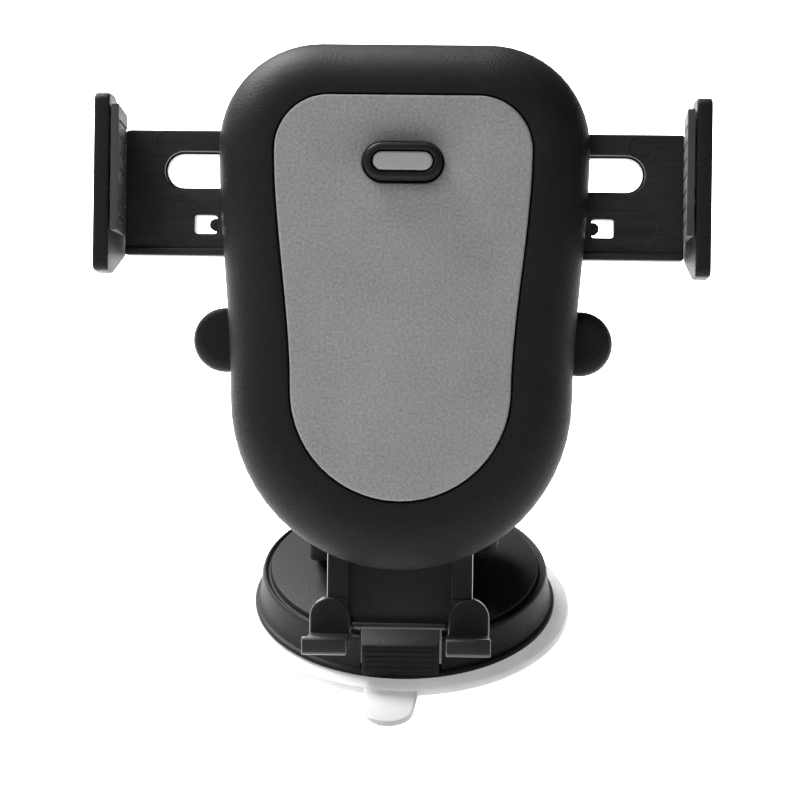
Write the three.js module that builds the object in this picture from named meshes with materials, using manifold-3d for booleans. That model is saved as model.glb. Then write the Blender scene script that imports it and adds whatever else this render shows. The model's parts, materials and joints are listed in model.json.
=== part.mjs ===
// A dashboard phone holder: a suction base with a lock lever, a swinging neck, a ball joint, and a
// shield-shaped cradle whose two spring-loaded side jaws open and close together on a rack and pinion.
//
// Millimetres, +Z up. The origin is the centre of the suction cup's underside, on the surface it grips.
// The front faces -Y. The cradle leans back, so it is drawn in its own group: x is across,
// y is depth from its front face to its back, and z runs up along it.

import * as THREE from "three";
import { mergeVertices } from "three/addons/utils/BufferGeometryUtils.js";
import Module from "manifold-3d";

const wasm = await Module();
wasm.setup();

// ---------------------------------------------------------------- driving dimensions
const GAP = 0.3; // between pieces that touch

// suction base
const CUP_RADIUS = 32.5;
const CUP_RIM = 1.6;
const CUP_RECESS = 1.2;
const CUP_CENTRE_TOP = 4.2;
const TAB_WIDTH = 10.2;
const TAB_LENGTH = 10.5;
const TAB_TURN = 3; // degrees to the left
const FLANGE_RADIUS = 29.5;
const SHOULDER_RADIUS = 27.9;
const FLANGE_BOTTOM = CUP_RIM + GAP;
const SHOULDER_HEIGHT = 9;
const ROOF_EDGE = 9.8;
const ROOF_CENTRE = 11;
const HOUSING_WALL = 1.8;

// lock lever and the stud that it lifts
const LEVER_PIVOT = { y: -6.5, z: 6.6 };
const LEVER_WIDTH = 14.4;
const LEVER_PIN_RADIUS = 1.2;
const STUD_RADIUS = 2.1;
const STUD_FLANGE_RADIUS = 3.6;
const STUD_FLANGE_BOTTOM = 7.1;

// neck hinge
const HINGE_Z = 22;
const EAR_RADIUS = 12;
const EAR_INNER = 7.2;
const EAR_OUTER = 12.2;
const HINGE_WIDTH = 36.4;
const HUB_RADIUS = 10;
const HUB_HALF = 5.9;
const BOLT_RADIUS = 2.5;
const ELBOW = { y: 16.1, z: 49.2, radius: 5.5 };
const STEM_RADIUS = 4.2;

// ball joint, in the cradle's group
const BALL_DEPTH = 31;
const BALL_RADIUS = 8.5;
const LINER_INNER = 8.75;
const LINER_OUTER = 10.1;
const SOCKET_RADIUS = 10.4;
const SOCKET_WALL_RADIUS = 12;
const COLLAR_RADIUS = 13.5;

// cradle
const HEAD_TILT = 26; // degrees that the cradle leans back
const HEAD_CENTRE = { y: -24.7, z: 76 };
const SHIELD = { top: 46.7, cornerX: 14.8, cornerZ: 28.5, cornerR: 18.2, bottomZ: -16.3, bottomR: 30.4 };
const PLATE = { top: 36.8, cornerX: 13.1, cornerZ: 27.3, cornerR: 9.5, bottomZ: -14.9, bottomR: 19.3 };
const RIM_WIDTH = 9;
const RIM_DEPTH = 7.6;
const PARTING = 9;
const HEAD_BACK = 20.3;
const HEAD_WALL = 2;
const PLATE_THICKNESS = 1.6;
const COVER_FLOOR = 3.9;

// clamp arms and their rack and pinion
const ARM = { bottom: 8.9, top: 31.4, front: 10, back: 14.2, inner: 18, outer: 50 };
const SLOT = { z: 24.2, inner: 24, outer: 39.6, radius: 3.4 };
const WINDOW = { x: [33.5, 37.5], z: [12.9, 16.2] };
const LAYER_FRONT = [10, 12];
const LAYER_REAR = [12.4, 14.2];
const LEG = [22.3, 25.3];
const PINION_Z = -6.1;
const PINION_TEETH = 12;
const TOOTH_MODULE = 0.8;
const PRESSURE_ANGLE = 20;
const BACKLASH = 0.16;
const JAW = { inner: 50.3, outer: 53, front: -8, bottom: 4.8, top: 36.1 };
const JAW_PAD = { bottom: 12.1, top: 33.8, rootX: 49.7, tipX: 48.7 };
const SPRING_Z = { left: 5.9, right: -18 };
const BUTTON = { x: 31.8, radius: 5.8, depth: [9.4, 15.6] };

// trigger and latch
const TRIGGER = { z: 25, width: 13.8, height: 6.5, proud: 3 };
const LATCH_PIVOT = { y: 7, z: 13 };

// sliding foot bracket
const TONGUE = { half: 13.2, front: 14.9, back: 18, top: -24, bottom: -58 };
const FOOT = { inner: 8.6, outer: 16.3, bottom: -60.6, top: -58.8, front: -6, lip: 1.3 };

// ---------------------------------------------------------------- helpers
const rad = THREE.MathUtils.degToRad;

// A closed three.js geometry as a solid with its faces turned outwards.
function solidOf(geometry) {
  const bare = geometry.index ? geometry.toNonIndexed() : geometry.clone();
  bare.deleteAttribute("normal");
  bare.deleteAttribute("uv");
  const merged = mergeVertices(bare, 1e-4);
  const index = merged.index.array;
  const outward = [];
  const inward = [];
  for (let i = 0; i < index.length; i += 3) {
    const [a, b, c] = [index[i], index[i + 1], index[i + 2]];
    if (a === b || b === c || c === a) continue;
    outward.push(a, b, c);
    inward.push(a, c, b);
  }
  const vertProperties = new Float32Array(merged.attributes.position.array);
  const make = (list) =>
    new wasm.Manifold(new wasm.Mesh({ numProp: 3, vertProperties, triVerts: new Uint32Array(list) }));
  const made = make(outward);
  return made.volume() < 0 ? make(inward) : made;
}

function geometryOf(solid) {
  const mesh = solid.getMesh();
  const position = new Float32Array(mesh.numVert * 3);
  for (let i = 0; i < mesh.numVert; i++) {
    for (let k = 0; k < 3; k++) position[3 * i + k] = mesh.vertProperties[mesh.numProp * i + k];
  }
  const indexed = new THREE.BufferGeometry()
    .setAttribute("position", new THREE.BufferAttribute(position, 3))
    .setIndex(new THREE.BufferAttribute(new Uint32Array(mesh.triVerts), 1));
  const flat = indexed.toNonIndexed();
  flat.computeVertexNormals();
  return flat;
}

const join = (...solids) => solids.reduce((a, b) => a.add(b));
const cut = (solid, ...tools) => tools.reduce((a, b) => a.subtract(b), solid);

// A box from a pair of limits on each axis, in either order.
function block(x, y, z) {
  const size = [x, y, z].map(([a, b]) => Math.abs(b - a));
  const middle = [x, y, z].map(([a, b]) => (a + b) / 2);
  return solidOf(new THREE.BoxGeometry(...size).translate(...middle));
}

// A cylinder or cone along an axis, through a point, from one limit to another along that axis.
function rod(axis, radius, [from, to], at, sides = 24, radiusTo = radius) {
  const g = new THREE.CylinderGeometry(radiusTo, radius, to - from, sides);
  g.translate(0, (from + to) / 2, 0);
  if (axis === "x") g.rotateZ(-Math.PI / 2);
  if (axis === "z") g.rotateX(Math.PI / 2);
  return solidOf(g.translate(...at));
}

// A profile of [radius, height] points turned about an axis through a point.
function turned(axis, profile, at, sides = 32) {
  const points = profile.map(([r, h]) => new THREE.Vector2(r, h));
  const onAxis = profile[0][0] === 0 && profile.at(-1)[0] === 0;
  if (!onAxis) points.push(points[0].clone());
  const g = new THREE.LatheGeometry(points, sides);
  if (axis === "z") g.rotateX(Math.PI / 2);
  return solidOf(g.translate(...at));
}

// A shape drawn in x and z, as a plate between two depths.
function plate(shape, [front, back], options = {}) {
  const g = new THREE.ExtrudeGeometry(shape, {
    depth: back - front,
    bevelEnabled: false,
    curveSegments: 8,
    ...options,
  });
  return solidOf(g.rotateX(Math.PI / 2).translate(0, back, 0));
}

// A shape drawn in y and z, as a slab between two places on x.
function slab(shape, [left, right], options = {}) {
  const low = Math.min(left, right);
  const g = new THREE.ExtrudeGeometry(shape, {
    depth: Math.abs(right - left),
    bevelEnabled: false,
    curveSegments: 8,
    ...options,
  });
  const basis = new THREE.Matrix4().makeBasis(
    new THREE.Vector3(0, 1, 0),
    new THREE.Vector3(0, 0, 1),
    new THREE.Vector3(1, 0, 0),
  );
  return solidOf(g.applyMatrix4(basis).translate(low, 0, 0));
}

const outline = (points) => new THREE.Shape(points.map(([a, b]) => new THREE.Vector2(a, b)));

// A shape as plain points, without the doubled ones where two of its curves meet.
function distinct(shape, divisions = 8) {
  const points = shape.getPoints(divisions);
  return new THREE.Shape(points.filter((p, i) => p.distanceTo(points.at(i - 1)) > 0.01));
}

// A flat-topped shield: two round top corners, gently tapering sides and a round bottom.
function shield(d, inset = 0) {
  const side = d.cornerX + d.cornerR - inset;
  const corner = d.cornerR - inset;
  const bottom = d.bottomR - inset;
  const lift = 0.3 * (d.cornerZ - d.bottomZ);
  const s = new THREE.Shape();
  s.moveTo(-d.cornerX, d.top - inset);
  s.lineTo(d.cornerX, d.top - inset);
  s.absarc(d.cornerX, d.cornerZ, corner, Math.PI / 2, 0, true);
  s.bezierCurveTo(side, d.cornerZ - lift, bottom, d.bottomZ + lift, bottom, d.bottomZ);
  s.absarc(0, d.bottomZ, bottom, 0, -Math.PI, true);
  s.bezierCurveTo(-bottom, d.bottomZ + lift, -side, d.cornerZ - lift, -side, d.cornerZ);
  s.absarc(-d.cornerX, d.cornerZ, corner, Math.PI, Math.PI / 2, true);
  return distinct(s);
}

// A slot shape with round ends, lying along x.
function obround(x, z, width, height) {
  const r = height / 2;
  const reach = width / 2 - r;
  const s = new THREE.Shape();
  s.absarc(x + reach, z, r, -Math.PI / 2, Math.PI / 2, false);
  s.absarc(x - reach, z, r, Math.PI / 2, 1.5 * Math.PI, false);
  return distinct(s, 6);
}

// Two circles in y and z and the straight sides that touch both.
function taperedLink(a, b) {
  const angle = Math.atan2(b.z - a.z, b.y - a.y);
  const spread = Math.acos((a.radius - b.radius) / Math.hypot(b.y - a.y, b.z - a.z));
  const s = new THREE.Shape();
  s.absarc(a.y, a.z, a.radius, angle + spread, angle - spread + 2 * Math.PI, false);
  s.absarc(b.y, b.z, b.radius, angle - spread, angle + spread, false);
  return s;
}

// A coil spring along x, from one place to another.
class Helix extends THREE.Curve {
  constructor(radius, turns, from, to) {
    super();
    Object.assign(this, { radius, turns, from, to });
  }
  getPoint(t, target = new THREE.Vector3()) {
    const a = 2 * Math.PI * this.turns * t;
    const along = this.from + (this.to - this.from) * t;
    return target.set(along, this.radius * Math.cos(a), this.radius * Math.sin(a));
  }
}

function coil(radius, wire, turns, [from, to]) {
  const corners = [0, 1, 2, 3, 4].map((i) => (2 * Math.PI * i) / 5);
  const section = outline(corners.map((a) => [wire * Math.cos(a), wire * Math.sin(a)]));
  return new THREE.ExtrudeGeometry(section, {
    steps: turns * 9,
    bevelEnabled: false,
    extrudePath: new Helix(radius, turns, from, to),
  });
}

// ---------------------------------------------------------------- materials
function finish(color, roughness, metalness = 0) {
  return new THREE.MeshStandardMaterial({ color, roughness, metalness });
}

const blackPlastic = finish(0x1c1c1d, 0.6);
const darkInner = finish(0x2b2b2d, 0.65);
const greyPad = finish(0x858585, 0.75);
const lightGrey = finish(0xb4b4b4, 0.55);
const blackRubber = finish(0x161616, 0.9);
const milkyGel = finish(0xe9e9e6, 0.3);
const acetal = finish(0xe2e0d8, 0.45);
const steel = finish(0xb9bcc0, 0.3, 1);

const holder = new THREE.Group();
const head = new THREE.Group();
head.position.set(0, HEAD_CENTRE.y, HEAD_CENTRE.z);
head.rotation.x = -rad(HEAD_TILT);
holder.add(head);

// Each sub-part is one body: slivers that a cut leaves along a shared face are dropped.
function add(group, name, solid, material) {
  const [body] = solid.decompose().sort((a, b) => b.volume() - a.volume());
  const mesh = new THREE.Mesh(geometryOf(body), material);
  mesh.name = name;
  group.add(mesh);
}

// ---------------------------------------------------------------- suction base
// The rim and the flat ring inside it lie on the gripped surface, and the centre is hollow.
function suctionCup() {
  const disc = turned("z", [
    [0, CUP_RECESS],
    [8, CUP_RECESS],
    [23, 0],
    [CUP_RADIUS - 0.4, 0],
    [CUP_RADIUS, 0.4],
    [CUP_RADIUS, CUP_RIM],
    [12, CUP_RIM + 0.4],
    [7, CUP_CENTRE_TOP - 0.8],
    [6.2, CUP_CENTRE_TOP],
    [0, CUP_CENTRE_TOP],
  ], [0, 0, 0], 48);
  const pocket = rod("z", 5.4, [2.2, 3.6], [0, 0, 0]);
  const throat = rod("z", STUD_RADIUS + 0.4, [3, CUP_CENTRE_TOP + 1], [0, 0, 0]);
  const half = TAB_WIDTH / 2;
  const shape = new THREE.Shape();
  shape.moveTo(-half, 1 - CUP_RADIUS);
  shape.lineTo(0.45 - half, half - CUP_RADIUS - TAB_LENGTH);
  shape.absarc(0, half - CUP_RADIUS - TAB_LENGTH, half - 0.45, Math.PI, 2 * Math.PI, false);
  shape.lineTo(half, 1 - CUP_RADIUS);
  const tab = new THREE.ExtrudeGeometry(shape, { depth: 1.2, bevelEnabled: false, curveSegments: 8 });
  tab.rotateZ(-rad(TAB_TURN));
  return cut(join(disc, solidOf(tab)), pocket, throat);
}

// The stud's foot is moulded into the cup, and the lever pulls on its flange.
function cupStud() {
  return turned("z", [
    [0, 2.5],
    [5, 2.5],
    [5, 3.3],
    [STUD_RADIUS, 3.3],
    [STUD_RADIUS, STUD_FLANGE_BOTTOM],
    [STUD_FLANGE_RADIUS, STUD_FLANGE_BOTTOM],
    [STUD_FLANGE_RADIUS, 8],
    [0, 8],
  ], [0, 0, 0], 24);
}

function hingeEar(side) {
  const ear = taperedLink({ y: 0, z: HINGE_Z, radius: EAR_RADIUS }, { y: 0, z: 10, radius: EAR_RADIUS });
  const whole = slab(ear, [side * EAR_INNER, side * EAR_OUTER]);
  return cut(whole, block([-20, 20], [-20, 20], [-10, 9.9]));
}

function baseHousing() {
  const shell = turned("z", [
    [FLANGE_RADIUS - HOUSING_WALL - 1, FLANGE_BOTTOM],
    [FLANGE_RADIUS, FLANGE_BOTTOM],
    [FLANGE_RADIUS, FLANGE_BOTTOM + 1],
    [FLANGE_RADIUS - 0.5, FLANGE_BOTTOM + 1.2],
    [SHOULDER_RADIUS, SHOULDER_HEIGHT],
    [SHOULDER_RADIUS - 0.6, SHOULDER_HEIGHT + 0.5],
    [SHOULDER_RADIUS - 0.9, SHOULDER_HEIGHT + 0.1],
    [SHOULDER_RADIUS - 1.4, SHOULDER_HEIGHT + 0.1],
    [SHOULDER_RADIUS - 1.7, ROOF_EDGE],
    [16, ROOF_EDGE + 0.8],
    [0, ROOF_CENTRE],
    [0, ROOF_CENTRE - HOUSING_WALL],
    [SHOULDER_RADIUS - 2.6, ROOF_EDGE - HOUSING_WALL],
    [FLANGE_RADIUS - HOUSING_WALL - 1, FLANGE_BOTTOM + 1],
  ], [0, 0, 0], 48);
  const slotHalf = LEVER_WIDTH / 2 + 0.4;
  const wideSlot = block([-slotHalf, slotHalf], [-40, -11.8], [FLANGE_BOTTOM + 1.1, 20]);
  const narrowSlot = block([-5.4, 5.4], [-13, -6], [FLANGE_BOTTOM + 1.1, 20]);
  const bosses = [-1, 1].map((side) =>
    cut(
      block([side * 7.6, side * 10.2], [LEVER_PIVOT.y - 3, LEVER_PIVOT.y + 3], [4.4, 9.8]),
      rod("x", LEVER_PIN_RADIUS + 0.2, [-12, 12], [0, LEVER_PIVOT.y, LEVER_PIVOT.z]),
    ),
  );
  const boltHole = rod("x", BOLT_RADIUS + 0.4, [-20, 20], [0, 0, HINGE_Z]);
  return cut(join(cut(shell, wideSlot, narrowSlot), ...bosses, hingeEar(-1), hingeEar(1)), boltHole);
}

function lockLever() {
  const half = LEVER_WIDTH / 2;
  // the top plate continues the housing's roof, and the grip continues its wall
  const top = slab(
    outline([
      [-27.2, 7.6],
      [-27.2, 9.7],
      [-16, 10.5],
      [-13.3, 10.6],
      [-13.3, 8.2],
    ]),
    [-half, half],
  );
  const grip = slab(
    outline([
      [-27.2, 9.7],
      [-29.6, 9.2],
      [-30.9, 3.6],
      [-28.6, 3.3],
      [-26.8, 7.6],
    ]),
    [-half, half],
  );
  const spine = slab(
    outline([
      [-14, 8.3],
      [-13, 10.2],
      [-8, 8.8],
      [LEVER_PIVOT.y, 8.6],
      [LEVER_PIVOT.y + 1.8, 7.7],
      [-3.9, 6.7],
      [0.6, 6.7],
      [0.6, 5.9],
      [LEVER_PIVOT.y, 4.5],
      [LEVER_PIVOT.y - 2, 5.2],
    ]),
    [-5, 5],
  );
  const fork = block([-2.5, 2.5], [-4.2, 4], [3, 9]);
  const bore = rod("x", LEVER_PIN_RADIUS + 0.2, [-12, 12], [0, LEVER_PIVOT.y, LEVER_PIVOT.z]);
  return cut(join(top, grip, spine), fork, bore);
}

function hingeKnob() {
  // eight lobes round the rim for the fingers
  const s = new THREE.Shape();
  const lobes = 8;
  for (let i = 0; i <= 64; i++) {
    const a = (2 * Math.PI * i) / 64;
    const r = 10 + 0.6 * Math.cos(lobes * a);
    const [y, z] = [r * Math.cos(a), HINGE_Z + r * Math.sin(a)];
    if (i === 0) s.moveTo(y, z);
    else if (i < 64) s.lineTo(y, z);
  }
  const body = slab(s, [-HINGE_WIDTH / 2, -EAR_OUTER - GAP]);
  return cut(body, rod("x", BOLT_RADIUS + 0.2, [-HINGE_WIDTH / 2 + 1.6, 0], [0, 0, HINGE_Z]));
}

function hingeCap() {
  const body = rod("x", 9.4, [EAR_OUTER + GAP, HINGE_WIDTH / 2 - 1], [0, 0, HINGE_Z], 32);
  const crown = rod("x", 9.4, [HINGE_WIDTH / 2 - 1, HINGE_WIDTH / 2], [0, 0, HINGE_Z], 32, 8);
  const nutPocket = rod("x", 4.6, [EAR_OUTER - 1, 16.2], [0, 0, HINGE_Z], 6);
  return cut(join(body, crown), nutPocket);
}

function hingeBolt() {
  const shank = rod("x", BOLT_RADIUS, [-16, 13], [0, 0, HINGE_Z]);
  const hex = rod("x", 4.2, [EAR_OUTER + 0.4, 15.9], [0, 0, HINGE_Z], 6);
  return join(shank, hex);
}

function frictionWasher(side) {
  const limits = [side * (HUB_HALF + GAP), side * (EAR_INNER - GAP)].sort((a, b) => a - b);
  const disc = rod("x", 8.5, limits, [0, 0, HINGE_Z], 32);
  return cut(disc, rod("x", BOLT_RADIUS + 0.4, [-20, 20], [0, 0, HINGE_Z]));
}

// ---------------------------------------------------------------- neck and ball joint
// the ball's centre, carried from the cradle's group to the whole holder's frame
const BALL = {
  y: HEAD_CENTRE.y + BALL_DEPTH * Math.cos(rad(HEAD_TILT)),
  z: HEAD_CENTRE.z - BALL_DEPTH * Math.sin(rad(HEAD_TILT)),
};

function neckArm() {
  const link = slab(taperedLink({ y: 0, z: HINGE_Z, radius: HUB_RADIUS }, ELBOW), [
    -HUB_HALF,
    HUB_HALF,
  ]);
  const angle = Math.atan2(BALL.z - ELBOW.z, BALL.y - ELBOW.y);
  const length = Math.hypot(BALL.z - ELBOW.z, BALL.y - ELBOW.y);
  const stem = new THREE.CylinderGeometry(STEM_RADIUS, STEM_RADIUS + 0.3, length, 20);
  stem.translate(0, length / 2, 0);
  stem.rotateX(angle);
  stem.translate(0, ELBOW.y, ELBOW.z);
  const ball = new THREE.SphereGeometry(BALL_RADIUS, 24, 16).translate(0, BALL.y, BALL.z);
  const bore = rod("x", BOLT_RADIUS + 0.4, [-20, 20], [0, 0, HINGE_Z]);
  return cut(join(link, solidOf(stem), solidOf(ball)), bore);
}

// A band of a spherical shell about the ball's centre, between two angles from the front pole.
function shellBand(inner, outer, fromAngle, toAngle) {
  const steps = 4;
  const arc = (r, a, b) =>
    Array.from({ length: steps + 1 }, (_, i) => {
      const t = rad(a + ((b - a) * i) / steps);
      return [r * Math.sin(t), -r * Math.cos(t)];
    });
  const profile = [...arc(outer, fromAngle, toAngle), ...arc(inner, toAngle, fromAngle)];
  if (fromAngle === 0) {
    profile[0][0] = 0;
    profile.at(-1)[0] = 0;
  }
  return turned("y", profile, [0, BALL_DEPTH, 0], 24);
}

function collarNut() {
  const ring = turned("y", [
    [12.4, 21.5],
    [COLLAR_RADIUS - 0.6, 21.5],
    [COLLAR_RADIUS, 22.2],
    [COLLAR_RADIUS, 37],
    [12.2, 38.5],
    [10.9, 38.5],
    [7.9, 35.2],
    [8.4, 33.9],
    [12.4, 33.9],
  ], [0, 0, 0], 48);
  const grooves = Array.from({ length: 12 }, (_, i) => {
    const a = (2 * Math.PI * i) / 12;
    const r = COLLAR_RADIUS + 0.7;
    return rod("y", 1.3, [23.5, 40], [r * Math.cos(a), 0, r * Math.sin(a)], 6);
  });
  return cut(ring, ...grooves);
}

// ---------------------------------------------------------------- cradle covers
const SCREWS = [
  [-SLOT.inner, SLOT.z],
  [SLOT.inner, SLOT.z],
  [-18.8, -28],
  [18.8, -28],
];

// The rounded rim: a shield whose edge falls away in a quarter ellipse from its flat front.
function domedShield(inset, front, back) {
  const rim = plate(shield(SHIELD, RIM_WIDTH), [front + RIM_DEPTH - inset / 3, back + RIM_DEPTH], {
    bevelEnabled: true,
    bevelThickness: RIM_DEPTH - inset / 3,
    bevelSize: RIM_WIDTH - inset,
    bevelSegments: 5,
  });
  return cut(rim, block([-60, 60], [back, 60], [-60, 60]));
}

function frontCover() {
  const outer = domedShield(0, 0.3, PARTING);
  const inner = plate(shield(SHIELD, RIM_WIDTH - 1.5), [COVER_FLOOR + 2, PARTING + 1], {
    bevelEnabled: true,
    bevelThickness: 2,
    bevelSize: RIM_WIDTH - 1.5 - HEAD_WALL,
    bevelSegments: 3,
  });
  const recess = plate(shield(PLATE, -GAP), [-1, 0.3 + PLATE_THICKNESS]);
  const holeShape = obround(0, TRIGGER.z, TRIGGER.width + 2 * GAP, TRIGGER.height + 2 * GAP);
  const hole = plate(holeShape, [-2, COVER_FLOOR + 1]);
  const shell = cut(outer, inner, recess, hole);
  const screwBosses = SCREWS.map(([x, z]) =>
    cut(rod("y", 2.9, [COVER_FLOOR - 0.5, PARTING], [x, 0, z], 16), rod("y", 1.25, [5, 20], [x, 0, z], 12)),
  );
  const pinionBoss = rod("y", 3, [COVER_FLOOR - 0.5, 8.2], [0, 0, PINION_Z], 16);
  const ears = [-1, 1].map((side) =>
    cut(
      block([side * 4.2, side * 6.2], [COVER_FLOOR - 0.5, 9], [LATCH_PIVOT.z - 2, LATCH_PIVOT.z + 2]),
      rod("x", 1.3, [-8, 8], [0, LATCH_PIVOT.y, LATCH_PIVOT.z], 12),
    ),
  );
  return join(shell, ...screwBosses, pinionBoss, ...ears);
}

function rearCover() {
  const parting = PARTING + GAP;
  const shellOf = (inset, front, back, round) =>
    cut(
      plate(shield(SHIELD, inset + round), [front, back - round], {
        bevelEnabled: true,
        bevelThickness: round,
        bevelSize: round,
        bevelSegments: 3,
      }),
      block([-60, 60], [-30, front], [-60, 60]),
    );
  const outer = shellOf(0, parting, HEAD_BACK, 3);
  const cavity = cut(
    plate(shield(SHIELD, HEAD_WALL), [0, HEAD_BACK - HEAD_WALL]),
    block([-60, 60], [-30, 0.5], [-60, 60]),
  );
  const socket = rod("y", SOCKET_WALL_RADIUS, [HEAD_BACK - 1, 30.5], [0, 0, 0], 48);
  const hollow = new THREE.SphereGeometry(SOCKET_RADIUS, 24, 16).translate(0, BALL_DEPTH, 0);
  const screwBosses = SCREWS.map(([x, z]) => rod("y", 3.1, [PARTING + GAP, HEAD_BACK - 1], [x, 0, z], 20));
  const pinionBoss = rod("y", 3.2, [14.7, HEAD_BACK - 1], [0, 0, PINION_Z], 20);
  const rails = [-1, 1].map((side) =>
    block([side * 13.6, side * 15.2], [TONGUE.front, HEAD_BACK - 1], [-40, -14]),
  );
  const solid = join(cut(outer, cavity), socket, ...screwBosses, pinionBoss, ...rails);
  const screwHoles = SCREWS.flatMap(([x, z]) => [
    rod("y", 1.5, [0, 30], [x, 0, z], 12),
    rod("y", 2.7, [17.4, 30], [x, 0, z], 16),
  ]);
  const armSlot = block([-60, 60], [ARM.front - 0.7, ARM.back + GAP], [ARM.bottom - 0.4, ARM.top + 0.4]);
  const bosses = join(...screwBosses.slice(0, 2));
  const buttonSlot = join(
    block([-60, 60], [0, BUTTON.depth[1] + 0.4], [PINION_Z - 6.2, PINION_Z + 6.2]),
    block([-60, 60], [0, ARM.back + GAP], [PINION_Z - 9.6, PINION_Z + 9.6]),
  );
  const tongueSlot = block([-13.6, 13.6], [13.9, TONGUE.back + GAP], [-60, -30]);
  const pinHole = rod("y", 1.35, [10, 18.4], [0, 0, PINION_Z], 16);
  const slotCuts = cut(armSlot, bosses);
  return cut(solid, solidOf(hollow), ...screwHoles, slotCuts, buttonSlot, tongueSlot, pinHole);
}

function frontPad() {
  const pad = plate(shield(PLATE, 0.35), [0.35, PLATE_THICKNESS], {
    bevelEnabled: true,
    bevelThickness: 0.35,
    bevelSize: 0.35,
    bevelSegments: 1,
  });
  const trimmed = cut(pad, block([-60, 60], [PLATE_THICKNESS, 9], [-60, 60]));
  const hole = obround(0, TRIGGER.z, TRIGGER.width + 0.6, TRIGGER.height + 0.6);
  return cut(trimmed, plate(hole, [-2, 9]));
}

function coverScrew([x, z]) {
  const head = rod("y", 2.4, [17.8, 19.6], [x, 0, z], 16);
  const shank = rod("y", 1.1, [6, 18], [x, 0, z], 12);
  const cross = join(
    block([x - 1.4, x + 1.4], [19, 20], [z - 0.3, z + 0.3]),
    block([x - 0.3, x + 0.3], [19, 20], [z - 1.4, z + 1.4]),
  );
  return cut(join(head, shank), cross);
}

// ---------------------------------------------------------------- trigger and latch
function triggerButton() {
  const edge = 0.6;
  const ringShape = obround(0, TRIGGER.z, TRIGGER.width - 2 * edge, TRIGGER.height - 2 * edge);
  const ring = plate(ringShape, [edge - TRIGGER.proud, 4.8], {
    bevelEnabled: true,
    bevelThickness: edge,
    bevelSize: edge,
    bevelSegments: 2,
  });
  const flange = plate(obround(0, TRIGGER.z, TRIGGER.width + 2.4, TRIGGER.height + 2.4), [4.3, 5.3]);
  const stem = block([-2, 2], [5, 6], [TRIGGER.z - 2, TRIGGER.z + 2]);
  const recess = plate(obround(0, TRIGGER.z, 11, 3.8), [-9, 1.3 - TRIGGER.proud]);
  return cut(join(ring, flange, stem), recess);
}

const triggerCap = () =>
  plate(obround(0, TRIGGER.z, 10.4, 3.2), [0.1 - TRIGGER.proud, 1 - TRIGGER.proud]);

function latchRocker() {
  const blade = block([-3.5, 3.5], [6.3, 7.7], [0.4, 26.5]);
  const hub = rod("x", 2, [-3.5, 3.5], [0, LATCH_PIVOT.y, LATCH_PIVOT.z], 16);
  const tooth = block([-3.5, 3.5], [7, 9.6], [0.4, 2.4]);
  return cut(join(blade, hub, tooth), rod("x", 1.3, [-8, 8], [0, LATCH_PIVOT.y, LATCH_PIVOT.z], 12));
}

// ---------------------------------------------------------------- clamp arms
const PITCH = Math.PI * TOOTH_MODULE;
const PITCH_RADIUS = (PINION_TEETH * TOOTH_MODULE) / 2;
const THICK = PITCH / 2 - BACKLASH;

function pinion() {
  const base = PITCH_RADIUS * Math.cos(rad(PRESSURE_ANGLE));
  const tip = PITCH_RADIUS + 0.7;
  const root = PITCH_RADIUS - 0.85;
  const involute = (r) => {
    const a = Math.acos(Math.min(1, base / r));
    return Math.tan(a) - a;
  };
  const halfAngle = (r) => THICK / 2 / PITCH_RADIUS + involute(PITCH_RADIUS) - involute(Math.max(r, base));
  const radii = [root, base, (base + tip) / 2, tip];
  const points = [];
  for (let i = 0; i < PINION_TEETH; i++) {
    const middle = Math.PI / 2 - (2 * Math.PI * i) / PINION_TEETH;
    for (const r of radii) points.push([r, middle + halfAngle(r)]);
    for (const r of [...radii].reverse()) points.push([r, middle - halfAngle(r)]);
  }
  const shape = outline(points.map(([r, a]) => [r * Math.cos(a), PINION_Z + r * Math.sin(a)]));
  const wheel = plate(shape, [10, 14.2]);
  return cut(wheel, rod("y", 1.5, [0, 30], [0, 0, PINION_Z], 20));
}

// The upper rack, with its teeth pointing down at the pinion, from one end to the other.
function rackShape(from, to, top) {
  const line = PINION_Z + PITCH_RADIUS;
  const [tipZ, rootZ] = [line - 0.55, line + 0.85];
  const lean = Math.tan(rad(PRESSURE_ANGLE));
  const points = [
    [from, top],
    [from, rootZ],
  ];
  for (let i = -8; i <= 1; i++) {
    const middle = (i + 0.5) * PITCH;
    const atRoot = THICK / 2 + lean * (rootZ - line);
    const atTip = THICK / 2 - lean * (line - tipZ);
    points.push([middle - atRoot, rootZ]);
    points.push([middle - atTip, tipZ]);
    points.push([middle + atTip, tipZ]);
    points.push([middle + atRoot, rootZ]);
  }
  points.push([to, rootZ], [to, top]);
  return outline(points);
}

// A solid turned half round about the pinion's axis, which leads along y.
function halfTurned(solid) {
  const atOrigin = solid.translate([0, 0, -PINION_Z]);
  return atOrigin.rotate([0, 180, 0]).translate([0, 0, PINION_Z]);
}

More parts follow.
